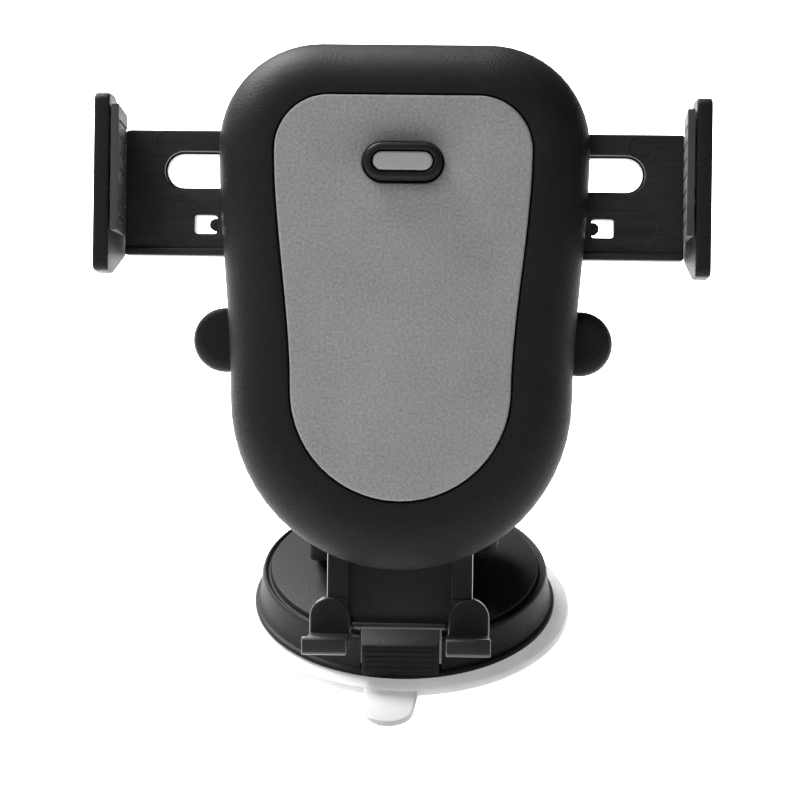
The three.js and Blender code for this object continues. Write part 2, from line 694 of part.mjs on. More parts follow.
// The half of the holder that carries one jaw: a slotted plate, and a rack that reaches across.
function clampArm(side) {
  const [front, back] = [ARM.front, ARM.back];
  const body = block([side * ARM.inner, side * ARM.outer], [front, back], [ARM.bottom, ARM.top]);
  const middle = (SLOT.inner + SLOT.outer) / 2;
  const width = SLOT.outer - SLOT.inner + 2 * SLOT.radius;
  const slot = plate(obround(side * middle, SLOT.z, width, 2 * SLOT.radius), [0, 30]);
  const opening = block(WINDOW.x.map((x) => side * x), [0, 30], WINDOW.z);
  const tongueZ = (WINDOW.z[0] + WINDOW.z[1]) / 2;
  const tongue = rod("y", 1.1, [front + 0.8, back], [side * (WINDOW.x[0] + 0.3), 0, tongueZ], 12);
  const railTop = ARM.bottom + 1.4;
  const rail = block([side * 26, side * ARM.outer], [front - 0.4, back], [ARM.bottom, railTop]);
  // the left arm's rack passes above the pinion, and the right arm's below it
  const layer = side < 0 ? LAYER_FRONT : LAYER_REAR;
  const place = (solid) => (side < 0 ? solid : halfTurned(solid));
  const rack = place(plate(rackShape(-LEG[1], 25.7, 3), layer));
  const paddle = place(block([22.6, 25.7], layer, [PINION_Z - 2, 3]));
  const tenonLayer = [layer[0] + 0.5, layer[1] - 0.5];
  const tenon = place(block([25.2, BUTTON.x], tenonLayer, [PINION_Z - 2, PINION_Z + 2]));
  const legFoot = side < 0 ? 0 : 2 * PINION_Z - 0.4;
  const leg = block(LEG.map((x) => side * x), layer, [legFoot, ARM.bottom + 1]);
  const springPost = Math.min(legFoot, (side < 0 ? SPRING_Z.left : SPRING_Z.right) - 2);
  const peg = block(LEG.map((x) => side * x), layer, [springPost, ARM.bottom]);
  return join(cut(body, slot, opening), tongue, rail, rack, paddle, tenon, leg, peg);
}

function clampJaw(side) {
  const profile = outline([
    [JAW.front, JAW.bottom + 1.5],
    [JAW.front, JAW.top - 1.5],
    [JAW.front + 1.5, JAW.top],
    [JAW.front + 6, JAW.top],
    [ARM.back, ARM.top],
    [ARM.back, ARM.bottom],
    [JAW.front + 6, JAW.bottom],
    [JAW.front + 1.5, JAW.bottom],
  ]);
  return slab(profile, [side * JAW.inner, side * JAW.outer]);
}

function jawPad(side) {
  const back = ARM.front - 0.8;
  const front = JAW.front;
  const z = [JAW_PAD.bottom, JAW_PAD.top];
  const face = block([side * JAW_PAD.tipX, side * (JAW.inner - GAP)], [front, back], z);
  const lean = outline([
    [side * 45, front - 1],
    [side * JAW_PAD.tipX, front - 1],
    [side * JAW_PAD.tipX, front],
    [side * JAW_PAD.rootX, back],
    [side * JAW_PAD.rootX, back + 1],
    [side * 45, back + 1],
  ]);
  const wedge = new THREE.ExtrudeGeometry(lean, { depth: 60, bevelEnabled: false });
  return cut(face, solidOf(wedge));
}

function releaseButton(side) {
  const [front, back] = BUTTON.depth;
  const r = BUTTON.radius;
  const disc = turned("y", [
    [0, front],
    [r - 1.6, front + 0.1],
    [r - 0.4, front + 0.8],
    [r, front + 1.8],
    [r, back - 0.8],
    [r - 0.8, back],
    [0, back],
  ], [side * BUTTON.x, 0, PINION_Z], 32);
  // the arm whose rack reaches this side carries the button
  const layer = side > 0 ? LAYER_FRONT : LAYER_REAR;
  const socket = block([side * 20, side * (BUTTON.x + GAP)], [layer[0] + 0.2, layer[1] - 0.2], [
    PINION_Z - 2.3,
    PINION_Z + 2.3,
  ]);
  return cut(disc, socket);
}

// ---------------------------------------------------------------- foot bracket
function footBracket() {
  const { half, front, back, top, bottom } = TONGUE;
  const web = block([0.5 - half, half - 0.5], [front + 1.4, back], [bottom, top]);
  const ledge = block([-FOOT.inner, FOOT.inner], [front - 0.2, back], [bottom, bottom + 1.2]);
  const sides = [-1, 1].map((side) => {
    const leg = block([side * (half - 4), side * half], [front, back], [bottom, top]);
    const lug = new THREE.Shape();
    const middle = side * (FOOT.inner + 0.2 + FOOT.outer) / 2;
    const radius = (FOOT.outer - FOOT.inner - 0.2) / 2;
    lug.absarc(middle, bottom + 2, radius, 0, Math.PI, false);
    lug.lineTo(middle - radius, FOOT.bottom + 0.5);
    lug.lineTo(middle + radius, FOOT.bottom + 0.5);
    const hump = plate(lug, [front - 0.6, back]);
    const shelf = block([side * FOOT.inner, side * FOOT.outer], [FOOT.front, back], [FOOT.bottom, FOOT.top]);
    const lip = block([side * FOOT.inner, side * FOOT.outer], [FOOT.front, FOOT.front + 1.8], [
      FOOT.bottom,
      FOOT.top + FOOT.lip,
    ]);
    return join(leg, hump, shelf, lip);
  });
  return join(web, ledge, ...sides);
}

// ---------------------------------------------------------------- the whole holder
add(holder, "suction_cup", suctionCup(), milkyGel);
add(holder, "cup_stud", cupStud(), acetal);
add(holder, "base_housing", baseHousing(), blackPlastic);
add(holder, "lock_lever", lockLever(), blackPlastic);
const leverPin = rod("x", LEVER_PIN_RADIUS, [-10, 10], [0, LEVER_PIVOT.y, LEVER_PIVOT.z], 16);
add(holder, "lever_pin", leverPin, steel);
add(holder, "hinge_knob", hingeKnob(), blackPlastic);
add(holder, "hinge_cap", hingeCap(), blackPlastic);
add(holder, "hinge_bolt", hingeBolt(), steel);
add(holder, "friction_washer_left", frictionWasher(-1), blackRubber);
add(holder, "friction_washer_right", frictionWasher(1), blackRubber);
add(holder, "neck_arm", neckArm(), blackPlastic);

add(head, "ball_friction_pad", shellBand(LINER_INNER, LINER_OUTER, 0, 35), blackRubber);
add(head, "ball_clamp_ring", shellBand(LINER_INNER, LINER_OUTER, 65, 104), acetal);
add(head, "collar_nut", collarNut(), blackPlastic);
add(head, "rear_cover", rearCover(), blackPlastic);
add(head, "front_cover", frontCover(), blackPlastic);
add(head, "front_pad", frontPad(), greyPad);
SCREWS.forEach((place, i) => add(head, `cover_screw_${i + 1}`, coverScrew(place), steel));

add(head, "trigger_button", triggerButton(), blackPlastic);
add(head, "trigger_cap", triggerCap(), lightGrey);
add(head, "latch_rocker", latchRocker(), acetal);
add(head, "latch_pin", rod("x", 1, [-6, 6], [0, LATCH_PIVOT.y, LATCH_PIVOT.z], 12), steel);
add(head, "pinion", pinion(), acetal);
add(head, "pinion_pin", rod("y", 1.15, [8.6, 18], [0, 0, PINION_Z], 16), steel);

for (const [side, name] of [
  [-1, "left"],
  [1, "right"],
]) {
  add(head, `${name}_arm`, clampArm(side), darkInner);
  add(head, `${name}_jaw`, clampJaw(side), blackPlastic);
  add(head, `${name}_jaw_pad`, jawPad(side), blackRubber);
  add(head, `${name}_release_button`, releaseButton(side), blackPlastic);
}
const armCoil = (limits) => coil(1.6, 0.25, 7, limits);
const latchCoil = coil(1.4, 0.2, 4, [8.2, 17.8]).rotateZ(Math.PI / 2);
add(head, "left_spring", solidOf(armCoil([-21.8, 5]).translate(0, 12, SPRING_Z.left)), steel);
add(head, "right_spring", solidOf(armCoil([-5, 21.8]).translate(0, 12, SPRING_Z.right)), steel);
add(head, "latch_spring", solidOf(latchCoil.translate(0, 0, TRIGGER.z)), steel);

add(head, "foot_bracket", footBracket(), blackPlastic);

export default holder;
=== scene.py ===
# %% [markdown]
# # A dashboard phone holder
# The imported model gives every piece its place, its size and its motion. This lesson makes the pieces
# that can be seen again, with finer curves, rounded edges and moulded plastic, and leaves the small
# hidden ones as they are with a better material. Each new piece is built around the numbers that the
# frame gives, so nothing has to be fitted afterwards.

# %% Load the frame
import json
import math

import bmesh
import bpy
from mathutils import Matrix, Vector


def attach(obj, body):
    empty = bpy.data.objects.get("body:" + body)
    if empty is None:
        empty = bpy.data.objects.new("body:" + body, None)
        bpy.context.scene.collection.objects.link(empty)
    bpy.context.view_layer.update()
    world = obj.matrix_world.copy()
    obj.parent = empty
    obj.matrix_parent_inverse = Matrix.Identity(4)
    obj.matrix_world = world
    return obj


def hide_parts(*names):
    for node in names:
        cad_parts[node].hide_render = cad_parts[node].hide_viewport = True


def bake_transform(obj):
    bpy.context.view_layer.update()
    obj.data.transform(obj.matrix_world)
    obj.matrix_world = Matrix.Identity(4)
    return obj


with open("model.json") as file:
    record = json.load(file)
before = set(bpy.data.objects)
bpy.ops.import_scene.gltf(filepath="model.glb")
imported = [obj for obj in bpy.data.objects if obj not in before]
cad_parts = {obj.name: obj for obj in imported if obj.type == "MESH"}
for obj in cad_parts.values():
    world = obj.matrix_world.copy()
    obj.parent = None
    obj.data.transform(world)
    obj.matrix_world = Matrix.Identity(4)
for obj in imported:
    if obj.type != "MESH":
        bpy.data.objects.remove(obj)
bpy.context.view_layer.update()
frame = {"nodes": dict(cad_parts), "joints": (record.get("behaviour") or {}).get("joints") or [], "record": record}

nodes = frame["nodes"]
record = frame["record"]
print("pieces in the frame:", len(nodes))

# %% [markdown]
# ## Two ways of measuring
# The base stands upright, but the cradle leans back. Drawing the cradle in the world's axes would
# make every number awkward, so it is drawn in axes of its own, as a draughtsman turns the sheet:
# x across, d for depth from its front to its back, and z up along its face. The record says how far it
# leans: the ball's roll axis points straight into its back. Both ways of measuring are in millimetres,
# and one matrix for each turns them into Blender's metres.

# %% The cradle's own axes
MM = 0.001
joints = {j["name"]: j for j in frame["joints"]}
mounts = {m["name"]: m for m in record["mounts"]}
into_back = Vector(joints["ball_roll"]["axis"]).normalized()
ball_centre = Vector(joints["ball_roll"]["pos_m"])
pad_point = Vector(mounts["pad_face"]["pos_m"])
ball_depth = (ball_centre - pad_point).dot(into_back)
lean = math.atan2(-into_back.z, into_back.y)
head_origin = ball_centre - into_back * ball_depth
WORLD = Matrix.Scale(MM, 4)
HEAD = Matrix.Translation(head_origin) @ Matrix.Rotation(-lean, 4, "X") @ WORLD
BALL_DEPTH = ball_depth / MM
print(f"the cradle leans back {math.degrees(lean):.1f} degrees, its ball is {BALL_DEPTH:.1f} mm deep")


# %% The box of a frame node in either measure
class Span:
    """The lowest and highest x, depth (or y) and z of a node, in millimetres."""

    def __init__(self, node, measure):
        back = measure.inverted()
        points = [back @ v.co for v in nodes[node].data.vertices]
        self.lo = Vector([min(p[i] for p in points) for i in range(3)])
        self.hi = Vector([max(p[i] for p in points) for i in range(3)])


cover = Span("front_cover", HEAD)
pad = Span("front_pad", HEAD)
cup = Span("suction_cup", WORLD)
print("cover from", [round(v, 1) for v in cover.lo], "to", [round(v, 1) for v in cover.hi])

# %% [markdown]
# ## Writing shader maths as sums
# A material's pattern is arithmetic on coordinates. Wiring Math nodes by hand hides that, so a small
# class wraps a socket and turns plus, minus and times into nodes. A second class holds one material:
# it starts from a Principled shader whose even values are set on the shader itself, and has one
# method that makes any other node.


# %% A socket that can be added and multiplied
class Wire:
    def __init__(self, finish, socket):
        self.finish = finish
        self.socket = socket

    def _math(self, operation, first, second):
        return self.finish.node("ShaderNodeMath", {"operation": operation}, {0: first, 1: second})

    def __add__(self, other):
        return self._math("ADD", self, other)

    def __radd__(self, other):
        return self._math("ADD", other, self)

    def __sub__(self, other):
        return self._math("SUBTRACT", self, other)

    def __rsub__(self, other):
        return self._math("SUBTRACT", other, self)

    def __mul__(self, other):
        return self._math("MULTIPLY", self, other)

    def __rmul__(self, other):
        return self._math("MULTIPLY", other, self)


# %% A material under construction
class Finish:
    def __init__(self, name, slot, **constants):
        self.slot = slot
        self.material = bpy.data.materials.new(name)
        self.material.use_nodes = True
        self.tree = self.material.node_tree
        self.shader = self.tree.nodes["Principled BSDF"]
        for socket, value in constants.items():
            self.shader.inputs[socket.replace("_", " ")].default_value = value

    def node(self, kind, settings=None, sockets=None, output=0):
        made = self.tree.nodes.new(kind)
        for key, value in (settings or {}).items():
            setattr(made, key, value)
        for key, value in (sockets or {}).items():
            if isinstance(value, Wire):
                self.tree.links.new(value.socket, made.inputs[key])
            else:
                made.inputs[key].default_value = value
        return Wire(self, made.outputs[output])

    def feed(self, socket, wire):
        self.tree.links.new(wire.socket, self.shader.inputs[socket])

    def millimetres(self, measure=WORLD):
        """Object coordinates in one of the two measures."""
        place, turn, _ = measure.decompose()
        coordinates = self.node("ShaderNodeTexCoord", output=3)
        return self.node(
            "ShaderNodeMapping",
            {"vector_type": "TEXTURE"},
            {"Vector": coordinates, "Location": place, "Rotation": turn.to_euler(), "Scale": (MM, MM, MM)},
        )

    def noise(self, vector, scale, detail=2.0, roughness=0.5):
        values = {"Vector": vector, "Scale": scale, "Detail": detail, "Roughness": roughness}
        return self.node("ShaderNodeTexNoise", {"noise_dimensions": "3D"}, values)

    def between(self, low, high, factor):
        """A colour from low to high; both are (r, g, b)."""
        return self.node(
            "ShaderNodeMix",
            {"data_type": "RGBA"},
            {0: factor, 6: (*low, 1.0), 7: (*high, 1.0)},
            output=2,
        )

    def contrast(self, wire, low, high):
        """0 below low, 1 above high, and even between them."""
        return self.node("ShaderNodeMapRange", None, {"Value": wire, "From Min": low, "From Max": high})

    def bump(self, height, depth_mm):
        """A surface that seems to rise and fall by a depth in millimetres."""
        sockets = {"Height": height, "Distance": depth_mm * MM, "Strength": 1.0}
        return self.node("ShaderNodeBump", None, sockets)


print("shader helpers ready")

# %% [markdown]
# ## Moulded plastic
# The covers, jaws and base are injection moulded in a black plastic whose mould was spark eroded, which
# leaves a fine even grain that takes the shine off. Up close the grain is a field of tiny rounded
# bumps. Two noises make it: a fine one for the grain, and a broad faint one, because a moulding never
# cools quite evenly. The grain changes the roughness as well, since its tops are rubbed a little smoother.


# %% Plastic with a spark-eroded grain
def grained_plastic(name, slot, dark, light, roughness, grain, depth, measure, sheen=0.06):
    f = Finish(name, slot, IOR=1.47, Specular_IOR_Level=sheen)
    place = f.millimetres(measure)
    fine = f.noise(place, grain, 3.0, 0.65)
    broad = f.noise(place, 0.09, 2.0)
    speckle = f.contrast(fine, 0.3, 0.7)
    f.feed("Base Color", f.between(dark, light, speckle * 0.65 + broad * 0.35))
    f.feed("Roughness", roughness + 0.10 * broad - 0.08 * speckle)
    f.feed("Normal", f.bump(fine, depth))
    return f


def grey(value):
    return (value, value, value * 1.01)


cover_black = grained_plastic(
    "cover_black_plastic", "black_plastic", grey(0.006), grey(0.013), 0.44, 3.0, 0.14, HEAD
)
base_black = grained_plastic(
    "base_black_plastic", "black_plastic", grey(0.007), grey(0.013), 0.46, 3.0, 0.1, WORLD
)
bracket_black = grained_plastic(
    "bracket_black_plastic", "black_plastic", grey(0.008), grey(0.015), 0.30, 2.6, 0.03, HEAD, 0.5
)
trigger_black = grained_plastic(
    "trigger_black_plastic", "black_plastic", grey(0.007), grey(0.012), 0.34, 4.0, 0.012, HEAD
)
pad_grey = grained_plastic(
    "pad_grey_plastic", "grey_pad", grey(0.11), grey(0.25), 0.62, 2.0, 0.12, HEAD, 0.2
)
insert_grey = grained_plastic(
    "insert_grey_plastic", "light_grey_plastic", grey(0.18), grey(0.25), 0.48, 4.0, 0.012, HEAD, 0.2
)
print("moulded plastics:", cover_black.slot, pad_grey.slot, insert_grey.slot)

# %% [markdown]
# ## The arms' satin plastic
# The arms slide in and out of the cover, so their plastic is smoother, and rubbing has left faint
# streaks along the direction in which they move. A noise stretched along x makes the streaks: the
# same noise, read through a Mapping node that squeezes one axis.


# %% Satin plastic with sliding marks
def sliding_plastic(name):
    f = Finish(name, "dark_plastic", IOR=1.48, Specular_IOR_Level=0.2)
    place = f.millimetres(HEAD)
    stretched = f.node("ShaderNodeMapping", None, {"Vector": place, "Scale": (0.05, 1.0, 1.6)})
    streaks = f.contrast(f.noise(stretched, 1.3, 3.0), 0.35, 0.7)
    fine = f.noise(place, 3.2, 2.0)
    f.feed("Base Color", f.between(grey(0.009), grey(0.019), streaks * 0.5 + fine * 0.5))
    f.feed("Roughness", 0.36 + 0.12 * streaks)
    f.feed("Normal", f.bump(fine + 0.3 * streaks, 0.018))
    return f


arm_dark = sliding_plastic("arm_satin_plastic")
print("arms:", arm_dark.material.name)

# %% [markdown]
# ## Rubber
# The jaws' pads and the washers are a soft black rubber. It is duller than the plastic, a shade
# lighter where it is dusty, and has a soft, slightly pitted skin.


# %% Soft black rubber
def soft_rubber(name, measure):
    f = Finish(name, "black_rubber", IOR=1.45)
    place = f.millimetres(measure)
    pits = f.noise(place, 1.8, 4.0, 0.6)
    dust = f.contrast(f.noise(place, 0.3, 3.0), 0.45, 0.75)
    f.feed("Base Color", f.between(grey(0.016), grey(0.034), dust * 0.6 + pits * 0.4))
    f.feed("Roughness", 0.62 + 0.2 * dust)
    f.feed("Normal", f.bump(pits, 0.03))
    return f


rubber = soft_rubber("soft_black_rubber", HEAD)
washer_rubber = soft_rubber("washer_black_rubber", WORLD)
print("rubbers:", rubber.material.name, washer_rubber.material.name)

# %% [markdown]
# ## The milky suction cup
# The cup is a clear gel with a little white in it. Part of the light goes in, spreads and comes out
# again, which is subsurface scattering over a few millimetres, and part goes straight through, which is
# transmission. Both have even values, set on the shader. Faint clouds vary the white.


# %% Milky gel
def milky(name):
    f = Finish(
        name,
        "milky_gel",
        IOR=1.42,
        Specular_IOR_Level=0.2,
        Subsurface_Weight=0.4,
        Subsurface_Scale=0.003,
        Transmission_Weight=0.55,
    )
    f.shader.inputs["Subsurface Radius"].default_value = (1.0, 1.0, 0.95)
    place = f.millimetres()
    clouds = f.noise(place, 0.16, 3.0)
    ripple = f.noise(place, 0.7, 1.0)
    f.feed("Base Color", f.between((0.40, 0.40, 0.396), (0.50, 0.50, 0.495), clouds))
    f.feed("Roughness", 0.42 + 0.12 * clouds)
    f.feed("Normal", f.bump(ripple, 0.02))
    return f


gel = milky("milky_gel")
print("cup:", gel.material.name)

# %% [markdown]
# ## Acetal and steel
# The gear, the latch, the stud and the ball's clamp ring are white acetal, a slippery plastic with a waxy
# look. The pins, screws, bolt and springs are zinc-plated steel: metal all over, with fine drawn
# lines that spread the highlight.


# %% White acetal
def waxy_acetal(name, measure):
    f = Finish(name, "white_acetal", IOR=1.48, Subsurface_Weight=0.15, Subsurface_Scale=0.001)
    place = f.millimetres(measure)
    clouds = f.noise(place, 0.5, 3.0)
    f.feed("Base Color", f.between((0.66, 0.65, 0.60), (0.76, 0.75, 0.71), clouds))
    f.feed("Roughness", 0.36 + 0.14 * clouds)
    f.feed("Normal", f.bump(clouds, 0.01))
    return f


acetal = waxy_acetal("white_acetal", HEAD)
base_acetal = waxy_acetal("stud_white_acetal", WORLD)


# %% Plated steel
def plated_steel(name, measure, lines):
    f = Finish(name, "bright_steel", Metallic=1.0)
    place = f.millimetres(measure)
    drawn = f.node("ShaderNodeMapping", None, {"Vector": place, "Scale": lines})
    scratches = f.noise(drawn, 3.0, 3.0)
    f.feed("Base Color", f.between((0.46, 0.47, 0.48), (0.62, 0.63, 0.64), scratches))
    f.feed("Roughness", 0.22 + 0.2 * scratches)
    f.feed("Normal", f.bump(scratches, 0.006))
    return f


steel = plated_steel("bright_steel", HEAD, (1.0, 1.0, 1.0))
bolt_steel = plated_steel("drawn_steel", WORLD, (0.1, 1.0, 1.0))
print("metals:", steel.material.name, bolt_steel.material.name)

# %% [markdown]
# ## Drawing outlines
# Almost every piece starts as a flat outline: straight runs joined by arcs. A few small functions
# give the points of an arc, a smooth side curve, a slot with round ends, and any outline with its corners
# rounded off. Nothing else about a shape is worked out by hand, because Blender's operators do it.

# %% Points along arcs and curves
FINE = 14


def arc(x, z, radius, start, end, count=FINE):
    """Points on a circle, from one angle to another in degrees."""
    angles = [math.radians(start + (end - start) * i / count) for i in range(count + 1)]
    return [(x + radius * math.cos(a), z + radius * math.sin(a)) for a in angles]


def circle(x, z, radius, count):
    """Points evenly round a whole circle."""
    return arc(x, z, radius, 0, 360 - 360 / count, count - 1)


def swept(p0, p1, p2, p3, count=FINE):
    """Points on a cubic curve, without its two ends."""
    points = []
    for i in range(1, count):
        t = i / count
        weights = ((1 - t) ** 3, 3 * t * (1 - t) ** 2, 3 * t * t * (1 - t), t**3)
        points.append(tuple(sum(w * p[k] for w, p in zip(weights, (p0, p1, p2, p3))) for k in (0, 1)))
    return points


def rounded(points, radius, count=4, closed=True):
    """The same outline with each corner turned into a small curve."""
    result = []
    last = len(points) - 1
    for i, point in enumerate(points):
        corner = Vector(point)
        if not closed and i in (0, last):
            result.append(point)
            continue
        before = Vector(points[i - 1]) - corner
        after = Vector(points[(i + 1) % len(points)]) - corner
        reach = min(radius, 0.45 * before.length, 0.45 * after.length)
        start, end = corner + before.normalized() * reach, corner + after.normalized() * reach
        for k in range(count + 1):
            t = k / count
            result.append(tuple(start * (1 - t) ** 2 + corner * 2 * t * (1 - t) + end * t * t))
    return result


def box_outline(a, b, radius=0.5):
    """A rectangle between a pair of limits each way, with round corners."""
    (x0, x1), (z0, z1) = sorted(a), sorted(b)
    return rounded([(x0, z0), (x1, z0), (x1, z1), (x0, z1)], radius)


def obround(x, z, width, height):
    r = height / 2
    reach = width / 2 - r
    return arc(x + reach, z, r, -90, 90) + arc(x - reach, z, r, 90, 270)


# %% The shield, the outline of the cover and of its pad
SHIELD_CORNER = 18.2
SHIELD_BOTTOM = 30.4
PLATE_CORNER = 9.5
PLATE_BOTTOM = 19.3
SIDE_LIFT = 0.3


def shield(span, corner, bottom, inset=0.0):
    """Round top corners, sides that taper gently, and a round bottom."""
    side, top, low = span.hi.x, span.hi.z, span.lo.z
    cx, cz, bz = side - corner, top - corner, low + bottom
    lift = SIDE_LIFT * (cz - bz)
    wide, narrow = side - inset, bottom - inset
    right = swept((wide, cz), (wide, cz - lift), (narrow, bz + lift), (narrow, bz))
    points = arc(cx, cz, corner - inset, 90, 0) + right + arc(0, bz, narrow, 0, -180, 2 * FINE)
    left = [(-x, z) for x, z in reversed(right)]
    return points + left + arc(-cx, cz, corner - inset, 180, 90)


def cover_outline(inset=0.0):
    return shield(cover, SHIELD_CORNER, SHIELD_BOTTOM, inset)


def pad_outline(inset=0.0):
    return shield(pad, PLATE_CORNER, PLATE_BOTTOM, inset)


print("points round the cover:", len(cover_outline()))

# %% [markdown]
# ## Pulling an outline into a solid
# A moulding is a flat outline pulled to a thickness, with its edges eased so that it leaves the mould
# and feels smooth. The operators do just that: one extrusion for the thickness, then a few narrow insets
# at each end, each a little further in and up than the last, which follow a quarter of an ellipse. A
# last very narrow inset keeps the flat face flat under smooth shading.

# %% Edge profiles, as steps of (inwards, along)
HOLD = 0.08
CORNER_ROOM = 1.6  # an outline's corners are this much rounder than the edge that is eased inside them
MERGE_DRAWN = 0.0005


def eased(width, height=None, count=4):
    """A convex edge: from the side wall round to the flat face."""
    height = width if height is None else height
    turn = [math.pi / 2 * i / count for i in range(count + 1)]
    steps = [
        (width * (math.cos(a) - math.cos(b)), height * (math.sin(b) - math.sin(a)))
        for a, b in zip(turn, turn[1:])
    ]
    return steps + [(HOLD, 0.0)]


def flared(width, count=4):
    """The mouth of a cutter, so that the hole it leaves has an eased edge."""
    turn = [math.pi / 2 * i / count for i in range(count + 1)]
    return [
        (width * (math.sin(b) - math.sin(a)), width * (math.cos(a) - math.cos(b)))
        for a, b in zip(turn, turn[1:])
    ]


# %% A solid from an outline
AXES = {"x": (1, 2, 0), "y": (0, 2, 1), "z": (0, 1, 2)}  # the outline's two axes, then the way it is pulled


def oriented(axis, a, b, along):
    where = [0.0, 0.0, 0.0]
    for k, value in zip(AXES[axis], (a, b, along)):
        where[k] = value
    return Vector(where)


def pull(bm, face, distance):
    """Extrudes one face and gives the new end face. A lone face stays as the other end."""
    inside = any(len(e.link_faces) > 1 for e in face.edges)
    made = bmesh.ops.extrude_face_region(bm, geom=[face])
    end = next(g for g in made["geom"] if isinstance(g, bmesh.types.BMFace))
    if inside and face.is_valid:
        bmesh.ops.delete(bm, geom=[face], context="FACES_ONLY")
    bmesh.ops.translate(bm, verts=end.verts, vec=distance)
    return end


def step_in(bm, face, steps, way):
    for inwards, along in steps:
        if inwards:
            bmesh.ops.inset_region(
                bm, faces=[face], thickness=inwards, use_even_offset=True, use_boundary=True
            )
            bmesh.ops.translate(bm, verts=face.verts, vec=way * along)
        elif along:
            face = pull(bm, face, way * along)
    return face


def moulding(outline, axis, low, high, low_steps=None, high_steps=None):
    """A closed solid from an outline, between two places on an axis, with an edge profile at each end."""
    low_steps = eased(0.3) if low_steps is None else low_steps
    high_steps = eased(0.3) if high_steps is None else high_steps
    low_rise = sum(along for _, along in low_steps)
    high_rise = sum(along for _, along in high_steps)
    bm = bmesh.new()
    way = oriented(axis, 0, 0, 1)
    start = bm.faces.new([bm.verts.new(oriented(axis, a, b, low + low_rise)) for a, b in outline])
    end = pull(bm, start, way * (high - high_rise - low - low_rise))
    step_in(bm, end, high_steps, way)
    step_in(bm, start, low_steps, -way)
    return tidy(bm)


def tidy(bm):
    bmesh.ops.remove_doubles(bm, verts=bm.verts, dist=MERGE_DRAWN)
    bmesh.ops.recalc_face_normals(bm, faces=bm.faces)
    return bm


# %% A solid turned on a lathe
def ball_profile(radius, end, count):
    """Half a circle for a lathe, from pole to pole; its arc goes to an angle near each pole."""
    return [(0, -radius)] + arc(0, 0, radius, -end, end, count) + [(0, radius)]


def turned(profile, axis, at=(0, 0, 0), steps=96, easing=0.25):
    """A profile of (radius, along) points spun about an axis, with its corners eased."""
    if easing:
        profile = rounded(profile, easing, 3, closed=profile[0][0] > 0)
    if profile[0][0] > 0:
        profile = profile + profile[:1]
    bm = bmesh.new()
    side = "z" if axis != "z" else "x"
    across = {"x": Vector((1, 0, 0)), "z": Vector((0, 0, 1))}[side]
    way = oriented(axis, 0, 0, 1)
    verts = [bm.verts.new(across * r + way * h) for r, h in profile]
    edges = [bm.edges.new(pair) for pair in zip(verts, verts[1:])]
    bmesh.ops.spin(
        bm, geom=verts + edges, cent=(0, 0, 0), axis=way, angle=2 * math.pi, steps=steps, use_merge=True
    )
    bmesh.ops.translate(bm, verts=bm.verts, vec=at)
    return tidy(bm)


def rod(axis, radius, low, high, at=(0, 0, 0), edge=0.15, steps=48):
    """A round bar; its edge is eased at both ends."""
    return turned([(0, low), (radius, low), (radius, high), (0, high)], axis, at, steps, edge)


def brick(x, y, z, edge=0.25):
    """A box with eased edges, from a pair of limits on each axis."""
    (x0, x1), (y0, y1), (z0, z1) = sorted(x), sorted(y), sorted(z)
    if not edge:
        return moulding([(x0, z0), (x1, z0), (x1, z1), (x0, z1)], "y", y0, y1, [], [])
    steps = eased(edge, count=2)
    return moulding(box_outline((x0, x1), (z0, z1), CORNER_ROOM * (edge + HOLD)), "y", y0, y1, steps, steps)


def pocket(outline, axis, surface, lip, end, shelf=()):
    """A cutter that enters at a surface with a flared mouth and goes on to an end, perhaps over a shelf."""
    steps = flared(lip) + list(shelf)
    rest = end - surface - sum(along for _, along in steps)
    return moulding(outline, axis, surface - 0.5, end, [], steps + [(0, rest)])


# %% [markdown]
# ## Joining and cutting
# Holes, slots and pockets are cut with Boolean modifiers, applied at once so that the finished piece is
# an ordinary mesh. The cutters carry their own flared mouths, which is what leaves an eased edge
# round each hole. The manifold solver is used: it is quick and its result has no gaps, as long as each
# solid that goes in is closed. It is at its cleanest where no two solids share a plane, so a solid that
# is joined to another is drawn a hair, SHY, short of it. Vertices that fall together are merged.

# %% Booleans on plain meshes
scene = bpy.context.scene
SHY = 0.03
MERGE_CUT = 0.0002


def as_object(bm, name):
    mesh = bpy.data.meshes.new(name)
    bm.to_mesh(mesh)
    bm.free()
    made = bpy.data.objects.new(name, mesh)
    scene.collection.objects.link(made)
    return made


def watertight(bm):
    """Stops the script if a solid has an open edge, because a Boolean would then go wrong quietly."""
    loose = [e for e in bm.edges if not e.is_manifold]
    if loose:
        raise ValueError(f"{len(loose)} open edges near {loose[0].verts[0].co}")
    return bm


def combine(body, tools, operation):
    """Cuts the tools from the body, or joins them to it, one after the other."""
    base = as_object(watertight(body), "body")
    for tool in map(watertight, tools):
        other = as_object(tool, "tool")
        modifier = base.modifiers.new("combine", "BOOLEAN")
        modifier.operation = operation
        modifier.solver = "MANIFOLD"
        modifier.object = other
        bpy.context.view_layer.update()
        evaluated = base.evaluated_get(bpy.context.evaluated_depsgraph_get())
        mesh = bpy.data.meshes.new_from_object(evaluated)
        base.modifiers.clear()
        base.data = mesh
        bpy.data.objects.remove(other)
    bm = bmesh.new()
    bm.from_mesh(base.data)
    bpy.data.objects.remove(base)
    bmesh.ops.remove_doubles(bm, verts=bm.verts, dist=MERGE_CUT)
    return bm


def cut(body, *tools):
    return combine(body, tools, "DIFFERENCE")


def join(body, *tools):
    return combine(body, tools, "UNION")


# %% Finishing a piece and hanging it on its body
SHARP = math.radians(32)
finished = []


